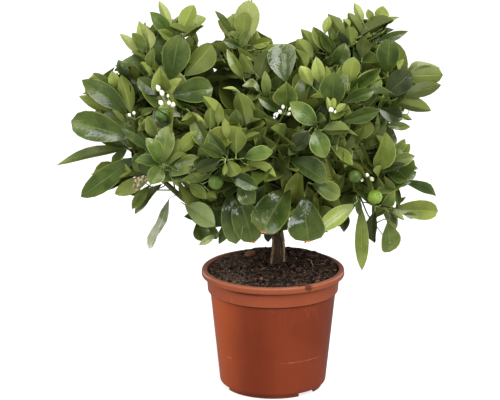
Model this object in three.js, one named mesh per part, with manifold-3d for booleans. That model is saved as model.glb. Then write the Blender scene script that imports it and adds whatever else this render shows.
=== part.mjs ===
// Calamondin orange tree in its plastic nursery pot.
// Millimetres, +Z up. The origin is the middle of the pot's flat underside, +X is to the right of the
// tree's front and -Y is towards the front. A short trunk stands in a mound of potting soil and forks
// into boughs a hand's breadth above it, and each bough ends where it enters its mass of foliage.
import * as THREE from "three";
import { mergeVertices } from "three/addons/utils/BufferGeometryUtils.js";
import Module from "manifold-3d";

const wasm = await Module();
wasm.setup();

// ---------------------------------------------------------------- driving dimensions

const GAP = 0.3; // clearance kept between touching pieces
const LEAF_GAP = 0.45; // growth of a mass before it cuts a neighbour, which leaves about GAP

const POT = {
  height: 162,
  lipRadius: 95, // widest circle of the rolled lip
  lipHeight: 9.5,
  mouthRadius: 87.4, // inner edge of the lip
  collarTopRadius: 88.2,
  collarFootRadius: 86.6,
  collarHeight: 19.5, // from under the lip to the step above the wall
  wallTopRadius: 83.4,
  wallFootRadius: 70.8,
  cornerRadius: 5, // round between wall and floor
  wall: 1.6,
  standoff: 5, // how high the floor stands on its foot ring
  footRadius: 66,
  footWidth: 4,
  padRadius: 15, // flat pad that carries the middle of the floor
  sides: 28,
};

const DRAIN = {
  gapCentresDeg: [44, 164, 284], // breaks in the foot ring, measured from the front towards +X
  gapWidthDeg: 24.5,
  gapMargin: 4, // how far a break reaches past the inside of the ring
  holeRadius: 4.5,
  holeCircle: 46,
  holes: 4,
  firstHoleDeg: 14,
  holeSides: 8,
};

const SOIL = {
  edgeZ: 155, // where the soil meets the pot's wall
  moundZ: 166, // flat seat at the foot of the trunk
  seatRadius: 17,
  roughness: 1.4, // height of the lumps
  lump: [9, 8], // their length along X and Y, in radians of a wave
  tilt: 0.03, // the soil lies higher on the right than on the left
};

const TRUNK = {
  groundZ: SOIL.moundZ + GAP, // the flat cut at the foot
  path: [
    [5.4, 6, SOIL.moundZ - 8], // below the cut, so that the foot keeps its lean
    [7.5, 6, 194],
    [4.5, 6, 216],
    [3, 6, 245],
    [6, 5, 280],
    [9, 4, 306],
  ],
  footRadius: 9.2,
  tipRadius: 6,
  flare: 0.3, // how much wider the foot is than the stem above it
  flareHeight: 14,
  flute: 0.05, // depth of the ridges that run down to the roots, as a share of the radius
  ridges: 3,
  twistLength: 30, // the ridges turn by one radian in this length
  sides: 11,
  steps: 12,
};

const BOUGH = { collar: 0.3, collarLength: 9, sides: 6, stepLength: 24 };

// Each bough is one tapering limb: the points it grows through, from inside the trunk to inside the
// mass that it carries, with its radius at both ends.
const BOUGHS = [
  { name: "bough_left_low", into: "foliage_left_low", radii: [5.2, 2.9],
    path: [[4, 6, 212], [-30, 8, 222], [-72, 4, 235], [-110, 0, 251], [-142, -4, 280], [-166, -6, 306]] },
  { name: "bough_left_high", into: "foliage_left_crest", radii: [5.4, 3.2],
    path: [[4, 6, 258], [-38, 14, 296], [-84, 20, 345], [-120, 16, 398], [-134, 10, 430]] },
  { name: "bough_left_out", into: "foliage_left_wing", radii: [4, 2.8],
    path: [[-58, 17, 316], [-92, 12, 330], [-136, 6, 346], [-184, 2, 366]] },
  { name: "bough_middle", into: "foliage_heart", radii: [5, 3.6],
    path: [[9, 4, 304], [5, 12, 332], [-6, 24, 368], [-12, 28, 396]] },
  { name: "bough_right_high", into: "foliage_right_crest", radii: [5.4, 3.2],
    path: [[7, 5, 284], [40, 1, 312], [78, -4, 356], [92, 0, 404], [98, 2, 436]] },
  { name: "bough_right_out", into: "foliage_right_wing", radii: [4.8, 3],
    path: [[5, 6, 264], [48, 14, 288], [98, 14, 324], [134, 10, 358], [154, 8, 388]] },
  { name: "bough_right_low", into: "foliage_right_low", radii: [3.8, 2.4],
    path: [[9, 3, 298], [14, -20, 310], [22, -34, 298], [38, -38, 286], [84, -36, 284], [150, -30, 290]] },
  { name: "bough_front", into: "foliage_front_middle", radii: [4.4, 2.8],
    path: [[4, 5, 240], [-2, -24, 262], [-12, -58, 296], [-20, -92, 330]] },
  { name: "bough_under_left", into: "foliage_under_left", radii: [3.8, 2.6],
    path: [[4, 6, 222], [-16, -12, 234], [-38, -30, 244], [-62, -46, 252]] },
  { name: "bough_under_right", into: "foliage_under_right", radii: [3.8, 2.6],
    path: [[4, 5, 230], [16, -14, 240], [30, -34, 247], [46, -52, 250]] },
  { name: "bough_back_left", into: "foliage_back_left", radii: [4.8, 3],
    path: [[4, 6, 232], [-20, 28, 262], [-56, 56, 300], [-96, 94, 336]] },
  { name: "bough_back_right", into: "foliage_back_right", radii: [4.8, 3],
    path: [[4, 6, 248], [26, 30, 276], [56, 58, 308], [86, 96, 340]] },
];

// The masses of foliage, first come first kept: where two meet, the later one gives way. Each has a
// knobbly core, and shoots that lead out of it: [x, y, z] of the tip, half the shoot's width, and, on a
// shoot that doesn't come from the middle of the core, the place where it starts.
const MASS = {
  bigRadius: 60, // a core wider than this gets finer facets
  knobs: 11,
  hollow: 0.16, // how far the core draws in between its knobs, as a share of its radius
  swell: 0.1, // how far a knob stands out past the radius
  knobSpreadDeg: 30,
  shootSides: 5,
  shootRoot: 0.3, // where a shoot starts, as a share of the way from the core's middle to the tip
};

const MASSES = [
  { name: "foliage_left_crest", core: [-140, 6, 446], radii: [46, 56, 48],
    shoots: [[-148, -16, 528, 12], [-112, 22, 516, 12], [-92, -6, 507, 12], [-177, 16, 495, 13],
      [-204, -22, 487, 13]] },
  { name: "foliage_middle_crest", core: [-37, 24, 442], radii: [34, 46, 46],
    shoots: [[-36, 24, 523, 18], [-68, -2, 513, 13], [-10, 42, 474, 15]] },
  { name: "foliage_right_crest", core: [100, 2, 444], radii: [60, 60, 48],
    shoots: [[116, -14, 528, 13], [148, 18, 515, 12], [166, -24, 511, 11], [178, 12, 484, 10],
      [77, 26, 503, 13], [38, -12, 486, 18]] },
  { name: "foliage_left_wing", core: [-200, 0, 376], radii: [46, 56, 46],
    shoots: [[-254, -22, 426, 12], [-240, 24, 426, 10], [-260, 12, 391, 12], [-196, 26, 441, 16],
      [-266, -10, 359, 17, [-200, 0, 352]], [-286, 6, 305, 9, [-200, 4, 332]]] },
  { name: "foliage_right_wing", core: [158, 6, 396], radii: [42, 58, 42],
    shoots: [[227, 18, 421, 13, [168, 8, 426]], [224, -18, 414, 10, [166, -4, 408]], [210, 14, 374, 11],
      [184, -24, 358, 9]] },
  { name: "foliage_front_left", core: [-112, -84, 350], radii: [64, 58, 56],
    shoots: [[-158, -128, 386, 20], [-92, -158, 344, 20], [-60, -120, 410, 18]] },
  { name: "foliage_front_right", core: [84, -86, 362], radii: [62, 60, 56],
    shoots: [[60, -158, 372, 20], [128, -132, 350, 20], [92, -110, 426, 18]] },
  { name: "foliage_front_middle", core: [-18, -106, 346], radii: [52, 56, 54],
    shoots: [[-26, -172, 340, 20], [0, -140, 398, 18]] },
  { name: "foliage_left_low", core: [-182, -16, 304], radii: [40, 48, 32],
    shoots: [[-254, -14, 258, 15, [-190, -14, 298]], [-206, -38, 271, 13],
      [-184, -12, 238, 10, [-164, -12, 286]], [-176, -72, 286, 16]] },
  { name: "foliage_left_drop", core: [-132, -4, 261], radii: [10, 9, 10],
    shoots: [[-161, -8, 194, 11, [-130, -5, 262]]] },
  { name: "foliage_right_low", core: [146, -20, 292], radii: [44, 54, 44],
    shoots: [[218, 8, 259, 9, [168, -4, 270]], [219, -22, 245, 13, [148, -22, 256]],
      [166, 10, 340, 15], [172, -80, 288, 17]] },
  { name: "foliage_right_drop", core: [138, -40, 236], radii: [24, 22, 22],
    shoots: [[114, -44, 170, 10, [120, -42, 240]], [160, -42, 196, 14], [133, -42, 206, 9],
      [94, -46, 234, 10]] },
  { name: "foliage_under_left", core: [-66, -48, 252], radii: [50, 40, 36],
    shoots: [[-98, -62, 212, 15], [-56, -74, 214, 16], [-22, -66, 212, 17, [-40, -50, 242]]] },
  { name: "foliage_under_right", core: [46, -52, 250], radii: [46, 42, 34],
    shoots: [[58, -72, 216, 15], [18, -76, 226, 15], [96, -50, 248, 14]] },
  { name: "foliage_heart", core: [-2, 34, 392], radii: [72, 58, 44],
    shoots: [[18, 30, 468, 17], [-86, 32, 466, 16, [-62, 36, 402]]] },
  { name: "foliage_back_left", core: [-112, 104, 344], radii: [72, 66, 66],
    shoots: [[-182, 138, 340, 20], [-116, 176, 372, 20], [-138, 120, 418, 18]] },
  { name: "foliage_back_right", core: [98, 104, 350], radii: [74, 66, 64],
    shoots: [[172, 130, 352, 20], [112, 176, 368, 20], [104, 118, 424, 18]] },
  { name: "foliage_back_middle", core: [-6, 138, 330], radii: [56, 52, 62],
    shoots: [[-10, 196, 348, 20], [0, 150, 404, 18]] },
  { name: "foliage_back_low_left", core: [-74, 88, 256], radii: [54, 46, 36],
    shoots: [[-122, 112, 236, 16], [-66, 132, 228, 16]] },
  { name: "foliage_back_low_right", core: [72, 88, 258], radii: [54, 46, 36],
    shoots: [[122, 104, 238, 16], [64, 132, 232, 16]] },
];

const COLOURS = { plastic: 0xa9502f, soil: 0x2a201a, bark: 0x5c5138, foliage: 0x46702a };

// ---------------------------------------------------------------- solids

const radians = THREE.MathUtils.degToRad;

/** A closed geometry as a manifold solid, for cutting and joining. */
function solidOf(geometry) {
  const bare = geometry.clone();
  bare.deleteAttribute("normal");
  bare.deleteAttribute("uv");
  const merged = mergeVertices(bare, 1e-3);
  return new wasm.Manifold(
    new wasm.Mesh({
      numProp: 3,
      vertProperties: merged.attributes.position.array,
      triVerts: new Uint32Array(merged.index.array),
    }),
  );
}

/** The largest body of a solid, as a geometry: a cut can leave crumbs behind. */
function geometryOf(solid) {
  const bodies = solid.decompose().sort((a, b) => b.volume() - a.volume());
  const { vertProperties, triVerts } = bodies[0].getMesh();
  const geometry = new THREE.BufferGeometry();
  geometry.setAttribute("position", new THREE.Float32BufferAttribute(vertProperties, 3));
  geometry.setIndex(new THREE.BufferAttribute(new Uint32Array(triVerts), 1));
  geometry.computeVertexNormals();
  return geometry;
}

/** A geometry with each vertex moved to where the function puts it. */
function reshaped(geometry, move) {
  const places = geometry.getAttribute("position");
  const spot = new THREE.Vector3();
  for (let i = 0; i < places.count; i++) {
    move(spot.fromBufferAttribute(places, i));
    places.setXYZ(i, spot.x, spot.y, spot.z);
  }
  return geometry;
}

/** LatheGeometry turns about Y; this turns a profile of [radius, z] about Z. */
function turned(profile, sides) {
  const outline = profile.map(([radius, z]) => new THREE.Vector2(radius, z));
  return new THREE.LatheGeometry(outline, sides).rotateX(Math.PI / 2);
}

// ---------------------------------------------------------------- pot

/** The round between floor and wall, seen in section, from the floor up. */
function cornerArc(radius) {
  const centreRadius = POT.wallFootRadius - POT.cornerRadius;
  const centreZ = POT.standoff + POT.cornerRadius;
  return [0, 45, 90].map((turn) => [
    centreRadius + radius * Math.sin(radians(turn)),
    centreZ - radius * Math.cos(radians(turn)),
  ]);
}

/** Section of the shell, from the middle of the underside out, up the outside, and down the inside. */
function potProfile() {
  const p = POT;
  const lipFoot = p.height - p.lipHeight;
  const collarFoot = lipFoot - p.collarHeight;
  return [
    [0, 0],
    [p.padRadius, 0],
    [p.padRadius + 1.5, p.standoff],
    [p.footRadius - p.footWidth - 1, p.standoff],
    [p.footRadius - p.footWidth, 0],
    [p.footRadius - 1, 0],
    ...cornerArc(p.cornerRadius),
    [p.wallTopRadius, collarFoot - 2],
    [p.collarFootRadius, collarFoot],
    [p.collarTopRadius, lipFoot],
    [p.lipRadius - 1.2, lipFoot + 0.6],
    [p.lipRadius, lipFoot + 3],
    [p.lipRadius - 0.4, p.height - 2],
    [p.lipRadius - 2.6, p.height],
    [p.mouthRadius + 1.6, p.height],
    [p.mouthRadius, p.height - 2],
    [p.collarFootRadius - p.wall, collarFoot + p.wall],
    [p.wallTopRadius - p.wall, collarFoot - 2],
    ...cornerArc(p.cornerRadius - p.wall).reverse(),
    [0, p.standoff + p.wall],
  ];
}

/** A wedge that breaks the foot ring below the floor, centred on an angle from the front. */
function footBreak(angleDeg) {
  const outer = POT.wallFootRadius + DRAIN.gapMargin;
  const inner = POT.footRadius - POT.footWidth - DRAIN.gapMargin;
  const half = radians(DRAIN.gapWidthDeg / 2);
  const middle = radians(angleDeg - 90);
  const outline = new THREE.Shape();
  outline.absarc(0, 0, outer, middle - half, middle + half, false);
  outline.absarc(0, 0, inner, middle + half, middle - half, true);
  const wedge = new THREE.ExtrudeGeometry(outline, {
    depth: 2 * POT.standoff,
    bevelEnabled: false,
    curveSegments: 4,
  });
  return solidOf(wedge.translate(0, 0, -POT.standoff));
}

function drainHole(index) {
  const d = DRAIN;
  const angle = radians((360 / d.holes) * index + d.firstHoleDeg);
  const drill = new THREE.CylinderGeometry(d.holeRadius, d.holeRadius, 3 * POT.standoff, d.holeSides);
  drill.rotateX(Math.PI / 2);
  drill.translate(d.holeCircle * Math.sin(angle), -d.holeCircle * Math.cos(angle), POT.standoff);
  return solidOf(drill);
}

function makePot() {
  let shell = solidOf(turned(potProfile(), POT.sides));
  for (const angle of DRAIN.gapCentresDeg) {
    shell = shell.subtract(footBreak(angle));
  }
  for (let index = 0; index < DRAIN.holes; index++) {
    shell = shell.subtract(drainHole(index));
  }
  return geometryOf(shell);
}

// ---------------------------------------------------------------- soil

/** The root ball fills the pot, and heaves up in an uneven mound towards the trunk. */
function makeSoil() {
  const p = POT;
  const inside = p.wall + GAP;
  const collarFoot = p.height - p.lipHeight - p.collarHeight;
  const edge = p.collarFootRadius - inside;
  const slope = [0.25, 0.5, 0.75].map((share) => [
    THREE.MathUtils.lerp(edge, SOIL.seatRadius, share),
    THREE.MathUtils.lerp(SOIL.edgeZ, SOIL.moundZ, Math.sin((share * Math.PI) / 2)),
  ]);
  const mound = turned(
    [
      [0, p.standoff + inside],
      ...cornerArc(p.cornerRadius - inside),
      [p.wallTopRadius - inside, collarFoot - 2],
      [edge, collarFoot + p.wall],
      [edge, SOIL.edgeZ],
      ...slope,
      [SOIL.seatRadius, SOIL.moundZ],
      [0, SOIL.moundZ],
    ],
    p.sides,
  );
  reshaped(mound, (spot) => {
    const radius = Math.hypot(spot.x, spot.y);
    const onSlope = spot.z > SOIL.edgeZ - 0.5 && radius > SOIL.seatRadius + 1;
    if (onSlope) {
      const [lumpX, lumpY] = SOIL.lump;
      spot.z += SOIL.roughness * Math.sin(spot.x / lumpX + 1) * Math.cos(spot.y / lumpY - 0.5);
      spot.z += SOIL.tilt * spot.x * THREE.MathUtils.smoothstep(radius, SOIL.seatRadius, edge);
    }
  });
  return geometryOf(solidOf(mound));
}

// ---------------------------------------------------------------- trunk and boughs

function curveThrough(path) {
  return new THREE.CatmullRomCurve3(path.map((point) => new THREE.Vector3(...point)), false, "centripetal");
}

/** Frames that follow a curve without twisting, by carrying the first one along. */
function framesAlong(curve, steps) {
  const frames = [];
  let side = new THREE.Vector3(1, 0, 0);
  for (let i = 0; i <= steps; i++) {
    const ahead = curve.getTangentAt(i / steps);
    side = side.clone().addScaledVector(ahead, -side.dot(ahead)).normalize();
    frames.push({ at: curve.getPointAt(i / steps), ahead, side, up: ahead.clone().cross(side) });
  }
  return frames;
}

/**
 * A closed round limb along a path, grown all over by a clearance. Its radius is a function of the
 * distance along it, that distance as a share of its length, and the angle round it.
 */
function limb(path, radiusAt, sides, steps, grow) {
  const curve = curveThrough(path);
  const length = curve.getLength();
  const frames = framesAlong(curve, steps);
  const column = new THREE.CylinderGeometry(1, 1, 1, sides, steps);
  return reshaped(column, (spot) => {
    const step = Math.round((spot.y + 0.5) * steps);
    const { at, side, up, ahead } = frames[step];
    const angle = Math.atan2(spot.z, spot.x);
    const share = step / steps;
    const radius = Math.hypot(spot.x, spot.z) * (radiusAt(share * length, share, angle) + grow);
    const end = step === 0 ? -grow : step === steps ? grow : 0;
    // the cylinder's own axis is Y, so its turn is reversed to keep the faces pointing out
    spot.copy(at)
      .addScaledVector(ahead, end)
      .addScaledVector(side, radius * Math.cos(angle))
      .addScaledVector(up, -radius * Math.sin(angle));
  });
}

/** The trunk, flared and fluted towards its foot and cut off flat at the ground. */
function trunkSolid(grow = 0) {
  const t = TRUNK;
  const radiusAt = (distance, share, angle) => {
    const stem = THREE.MathUtils.lerp(t.footRadius, t.tipRadius, share);
    const foot = Math.exp(-distance / t.flareHeight);
    const ridge = t.flute * (0.4 + foot) * Math.sin(t.ridges * angle + distance / t.twistLength);
    return stem * (1 + t.flare * foot + ridge);
  };
  return solidOf(limb(t.path, radiusAt, t.sides, t.steps, grow)).trimByPlane([0, 0, 1], t.groundZ);
}

/** A bough, with a swollen collar where it leaves the trunk. */
function boughSolid({ path, radii }, grow = 0) {
  const [root, end] = radii;
  const length = curveThrough(path).getLength();
  const radiusAt = (distance, share) => {
    const collar = BOUGH.collar * Math.exp(-distance / BOUGH.collarLength);
    return THREE.MathUtils.lerp(root, end, share) * (1 + collar);
  };
  return solidOf(limb(path, radiusAt, BOUGH.sides, Math.round(length / BOUGH.stepLength), grow));
}

// ---------------------------------------------------------------- foliage

/** Directions spread evenly over a sphere, turned by a seed. */
function spreadDirections(count, seed) {
  const golden = Math.PI * (3 - Math.sqrt(5));
  return Array.from({ length: count }, (_, i) => {
    const z = 1 - (2 * i + 1) / count;
    const ring = Math.sqrt(1 - z * z);
    const turn = golden * i + seed * 1.7;
    return new THREE.Vector3(ring * Math.cos(turn), ring * Math.sin(turn), z);
  });
}

/** The knobbly core of a mass: an ellipsoid that swells where a spray of leaves stands out. */
function coreGeometry({ core, radii }, seed, grow) {
  const knobs = spreadDirections(MASS.knobs, seed);
  const spread = radians(MASS.knobSpreadDeg);
  const ball = new THREE.IcosahedronGeometry(1, radii[0] > MASS.bigRadius ? 2 : 1);
  return reshaped(ball, (spot) => {
    spot.normalize();
    const nearest = Math.min(...knobs.map((knob) => knob.angleTo(spot)));
    const reach = 1 - MASS.hollow + (MASS.hollow + MASS.swell) * Math.exp(-((nearest / spread) ** 2));
    spot.set(
      core[0] + spot.x * (radii[0] * reach + grow),
      core[1] + spot.y * (radii[1] * reach + grow),
      core[2] + spot.z * (radii[2] * reach + grow),
    );
  });
}

/** A leading shoot: a slim lobe from inside the core to its tip. */
function shootGeometry({ core }, [x, y, z, width, start], grow) {
  const tip = new THREE.Vector3(x, y, z);
  const middle = new THREE.Vector3(...core);
  const root = start ? new THREE.Vector3(...start) : middle.lerp(tip, MASS.shootRoot);
  const axis = tip.sub(root);
  const length = axis.length();
  const wide = width + grow;
  const lobe = [
    [0, -grow],
    [wide, length * 0.5],
    [wide * 0.7, length * 0.85],
    [0, length + grow],
  ];
  const turn = new THREE.Quaternion().setFromUnitVectors(new THREE.Vector3(0, 0, 1), axis.normalize());
  return turned(lobe, MASS.shootSides).applyQuaternion(turn).translate(...root.toArray());
}

function massSolid(mass, seed, grow = 0) {
  return mass.shoots.reduce(
    (solid, shoot) => solid.add(solidOf(shootGeometry(mass, shoot, grow))),
    solidOf(coreGeometry(mass, seed, grow)),
  );
}

/** Every mass, each cut by the ones before it. */
function foliageSolids() {
  const solids = new Map();
  let taken = null;
  for (const [seed, mass] of MASSES.entries()) {
    const own = massSolid(mass, seed);
    const space = massSolid(mass, seed, LEAF_GAP);
    solids.set(mass.name, taken ? own.subtract(taken) : own);
    taken = taken ? taken.add(space) : space;
  }
  return solids;
}

/** Every bough, cut where it leaves the trunk and where it enters its mass, and the space around it. */
function cutBoughs(trunkSpace) {
  let taken = trunkSpace;
  return BOUGHS.map((bough) => {
    const seed = MASSES.findIndex((mass) => mass.name === bough.into);
    const solid = boughSolid(bough).subtract(taken).subtract(massSolid(MASSES[seed], seed, GAP));
    const space = boughSolid(bough, GAP).subtract(massSolid(MASSES[seed], seed));
    taken = taken.add(space);
    return { name: bough.name, solid, space };
  });
}

// ---------------------------------------------------------------- assembly

const finishes = {
  plastic: new THREE.MeshStandardMaterial({ color: COLOURS.plastic, roughness: 0.42, metalness: 0 }),
  soil: new THREE.MeshStandardMaterial({ color: COLOURS.soil, roughness: 0.95, metalness: 0 }),
  bark: new THREE.MeshStandardMaterial({ color: COLOURS.bark, roughness: 0.85, metalness: 0 }),
  foliage: new THREE.MeshStandardMaterial({ color: COLOURS.foliage, roughness: 0.45, metalness: 0 }),
};

const tree = new THREE.Group();

function addPiece(name, geometry, finish) {
  const piece = new THREE.Mesh(geometry, finish.clone());
  piece.name = name;
  tree.add(piece);
}

addPiece("pot", makePot(), finishes.plastic);
addPiece("soil", makeSoil(), finishes.soil);
addPiece("trunk", geometryOf(trunkSolid()), finishes.bark);

const trunkSpace = trunkSolid(GAP);
const boughs = cutBoughs(trunkSpace);
for (const { name, solid } of boughs) {
  addPiece(name, geometryOf(solid), finishes.bark);
}
const wood = boughs.reduce((sum, { space }) => sum.add(space), trunkSpace);
for (const [name, solid] of foliageSolids()) {
  addPiece(name, geometryOf(solid.subtract(wood)), finishes.foliage);
}

export default tree;
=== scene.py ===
# %% [markdown]
# # A calamondin orange tree in its plastic pot
# This file dresses a plain model of a small citrus tree: a turned pot, soil, a short trunk with twelve
# boughs, and a crown of leaves, green fruit and buds. The plain model is the frame. It holds every part at
# its real size and never moves. Each of its solids is hidden behind a finer piece in the same place.

# %% The frame
import random
from collections import namedtuple
from math import atan2, ceil, copysign, cos, exp, hypot, pi, radians, sin, sqrt, tan

import bpy
import numpy as np
from mathutils import Matrix, Vector, noise
from mathutils.bvhtree import BVHTree
from mathutils.kdtree import KDTree
from numpy.linalg import norm


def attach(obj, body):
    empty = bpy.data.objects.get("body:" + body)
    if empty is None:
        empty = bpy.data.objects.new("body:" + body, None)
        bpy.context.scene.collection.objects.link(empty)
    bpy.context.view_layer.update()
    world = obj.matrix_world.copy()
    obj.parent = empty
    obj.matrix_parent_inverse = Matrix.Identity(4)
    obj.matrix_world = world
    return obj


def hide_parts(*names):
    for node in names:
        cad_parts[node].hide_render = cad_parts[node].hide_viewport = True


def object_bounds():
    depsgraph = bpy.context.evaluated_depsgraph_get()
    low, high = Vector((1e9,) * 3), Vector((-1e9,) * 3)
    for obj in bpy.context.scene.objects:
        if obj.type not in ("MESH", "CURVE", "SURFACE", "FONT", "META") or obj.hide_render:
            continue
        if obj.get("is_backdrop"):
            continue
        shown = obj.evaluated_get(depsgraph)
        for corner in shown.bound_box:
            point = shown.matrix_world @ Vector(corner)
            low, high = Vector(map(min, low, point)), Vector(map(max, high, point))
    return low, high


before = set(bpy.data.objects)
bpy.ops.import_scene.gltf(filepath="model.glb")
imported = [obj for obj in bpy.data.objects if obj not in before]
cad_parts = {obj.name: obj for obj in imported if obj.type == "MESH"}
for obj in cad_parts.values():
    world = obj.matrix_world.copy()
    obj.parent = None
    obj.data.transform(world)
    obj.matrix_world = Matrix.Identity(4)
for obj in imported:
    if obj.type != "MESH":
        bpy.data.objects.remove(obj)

MM = 0.001
BODY = "root"
cad_low, cad_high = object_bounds()
print("frame:", len(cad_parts), "nodes,", [round((b - a) / MM) for a, b in zip(cad_low, cad_high)], "mm")

# %% [markdown]
# ## The camera and the front view
# A long lens far away keeps the pot's sides straight. Places on the front of the crown are easiest to name
# as a column and a row of the camera's picture, 500 wide and 400 high, with a depth behind the trunk's axis
# in millimetres. `spot` turns those three into a point, and `seen_at` does the reverse.

# %% Camera
PICTURE = (500, 400)
CAMERA_PLACE = Vector((-0.0306, -3.8287, 1.3198))
CAMERA_DIP = radians(15.54)
LENS_MM, SENSOR_MM = 216.6, 36

bpy.ops.object.camera_add(location=CAMERA_PLACE, rotation=(pi / 2 - CAMERA_DIP, 0, 0))
camera = bpy.context.object
camera.data.lens = LENS_MM
camera.data.sensor_width = SENSOR_MM
bpy.context.scene.camera = camera

AHEAD = Vector((0, cos(CAMERA_DIP), -sin(CAMERA_DIP)))
UPWARD = Vector((0, sin(CAMERA_DIP), cos(CAMERA_DIP)))
PER_PIXEL = SENSOR_MM / LENS_MM / PICTURE[0]


def spot(column, row, depth):
    """The point at this column and row of the front view, depth millimetres behind the axis."""
    across, down = (column - PICTURE[0] / 2) * PER_PIXEL, (row - PICTURE[1] / 2) * PER_PIXEL
    ray = AHEAD + Vector((across, 0, 0)) - down * UPWARD
    return CAMERA_PLACE + ray * ((depth * MM - CAMERA_PLACE.y) / ray.y)


def seen_at(points):
    """Columns and rows at which an array of points shows in the front view."""
    away = np.asarray(points) - np.array(CAMERA_PLACE)
    ahead = away @ np.array(AHEAD) * PER_PIXEL
    return PICTURE[0] / 2 + away[:, 0] / ahead, PICTURE[1] / 2 - away @ np.array(UPWARD) / ahead


print("axis at soil level shows at", [round(float(v[0])) for v in seen_at([(0, 0, 0.16)])])

# %% [markdown]
# ## Helpers for shader nodes
# These helpers keep each network of nodes short enough to read from top to bottom. `plug` fills the sockets
# of a node, and `add` makes a node in the tree that its links come from. `mixed`, `maths`, `times`, `ramp`
# and `mottle` return the output of the nodes that are used most. Colours are six hexadecimal digits.

# %% Shader helpers


def paint(code):
    """A colour in six hexadecimal digits as the linear numbers that shaders use."""
    parts = [int(code[i:i + 2], 16) / 255 for i in (0, 2, 4)]
    return tuple(c / 12.92 if c < 0.04045 else ((c + 0.055) / 1.055) ** 2.4 for c in parts) + (1,)


def linked(value):
    return isinstance(value, bpy.types.NodeSocket)


def plug(node, sockets):
    """Links or sets the sockets of a node, each given as name: link, number or colour."""
    for key, value in sockets.items():
        if linked(value):
            node.id_data.links.new(value, node.inputs[key])
        else:
            node.inputs[key].default_value = paint(value) if isinstance(value, str) else value


def new_node(tree, kind, settings):
    node = tree.nodes.new("ShaderNode" + kind)
    for key, value in settings.items():
        setattr(node, key, value)
    return node


def add(kind, sockets, **settings):
    """A new node of this kind, in the tree of the first link among its sockets."""
    tree = next(value.id_data for value in sockets.values() if linked(value))
    node = new_node(tree, kind, settings)
    plug(node, sockets)
    return node


def source(tree, kind, output, **settings):
    """An output of a new node that takes no links, such as an attribute."""
    return new_node(tree, kind, settings).outputs[output]


def mixed(share, first, second):
    """The colour that is first where share is 0 and second where it is 1."""
    return add("Mix", {0: share, 6: first, 7: second}, data_type="RGBA").outputs[2]


def maths(operation, *values):
    return add("Math", dict(enumerate(values)), operation=operation).outputs[0]


def times(first, second):
    return maths("MULTIPLY", first, second)


def gap_between(first, second):
    return maths("ABSOLUTE", maths("SUBTRACT", first, second))


def ramp(value, low, high, to_low=0.0, to_high=1.0):
    """Value carried smoothly from the range low..high to to_low..to_high."""
    sockets = {"Value": value, "From Min": low, "From Max": high, "To Min": to_low, "To Max": to_high}
    return add("MapRange", sockets, interpolation_type="SMOOTHSTEP").outputs[0]


def mottle(vector, size_mm, detail=3.0, roughness=0.55):
    """Cloudy noise from 0 to 1, with clouds about size_mm wide."""
    sockets = {"Vector": vector, "Scale": 1 / (size_mm * MM), "Detail": detail, "Roughness": roughness}
    return add("TexNoise", sockets).outputs["Fac"]


def relief(shader, height, depth_mm):
    """Feeds a height pattern into the shader's normal."""
    bump = add("Bump", {"Height": height, "Distance": depth_mm * MM, "Strength": 1.0})
    plug(shader, {"Normal": bump.outputs[0]})


def wear(shader, colour, roughness, specular=0.5, **more):
    """Fills the sockets that every material fills. Further ones are given by name."""
    plug(shader, {"Base Color": colour, "Roughness": roughness, "Specular IOR Level": specular, **more})


def new_material(name):
    """A material and its Principled shader."""
    material = bpy.data.materials.new(name)
    material.use_nodes = True
    return material, material.node_tree.nodes["Principled BSDF"]


def place_on(shader):
    """The place on the object, which most patterns are laid out by."""
    return source(shader.id_data, "TexCoord", "Object")


print("shader helpers ready")

# %% [markdown]
# ## The studio
# A plant in a catalogue stands on white, under light so soft that it has hardly a shadow. The world is
# white to the camera, dimmer as light and dimmer still as a reflection, so that gloss stays dark between
# the lamps. A very soft sun gives the light a side. Eight area lamps add the shine on the leaves, their
# bright rims and the long bands on the pot. The floor is one wide sheet without a horizon. It glows enough
# to stay white, and shiny surfaces don't see it.

# %% Floor, world and lamps
FLOOR_SIZE, FLOOR_DROP, FLOOR_GREY, FLOOR_GLOW = 30, 0.0005, 0.3, 0.76
WORLD_LIGHT, SHINE_LIGHT = 0.74, -0.44  # beside the 1.0 that the camera sees
SUN_POWER, SUN_WIDTH, SUN_TURN = 3.3, radians(36), (radians(42), 0, radians(22))
TREE_MIDDLE = Vector((0, 0, 0.3))
LAMPS = [  # name, place, width and height in metres, watts
    ("spark", (-1.2, -1.7, 1.9), 1.0, 1.0, 22),
    ("glint", (0.9, -2.4, 2.0), 0.7, 0.7, 11),
    ("crown", (0.9, -0.4, 2.4), 0.9, 0.9, 20),
    ("right_rim", (2.2, 1.8, 0.5), 1.2, 1.2, 22),
    ("left_rim", (-2.2, 1.8, 0.5), 1.2, 1.2, 22),
    ("side", (2.6, -1.2, 0.9), 0.5, 1.8, 9),
    ("left", (-2.6, -0.5, 1.0), 0.9, 1.8, 23),
    ("fill", (0.3, -3.4, 0.9), 1.6, 1.6, 24),
]

bpy.ops.mesh.primitive_plane_add(size=FLOOR_SIZE, location=(0, 0, -FLOOR_DROP))
floor = bpy.context.object
floor.name = "floor"
floor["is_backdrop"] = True
material, shader = new_material("floor")
wear(shader, (FLOOR_GREY, FLOOR_GREY, FLOOR_GREY, 1), 0.9, 0.1,
     **{"Emission Color": "ffffff", "Emission Strength": FLOOR_GLOW})
floor.data.materials.append(material)
floor.visible_glossy = False

world = bpy.data.worlds.new("studio")
world.use_nodes = True
to_camera = source(world.node_tree, "LightPath", "Is Camera Ray")
to_shine = source(world.node_tree, "LightPath", "Is Glossy Ray")
strength = maths("MULTIPLY_ADD", to_shine, SHINE_LIGHT, ramp(to_camera, 0, 1, WORLD_LIGHT, 1.0))
plug(world.node_tree.nodes["Background"], {"Color": "ffffff", "Strength": strength})
bpy.context.scene.world = world

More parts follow.
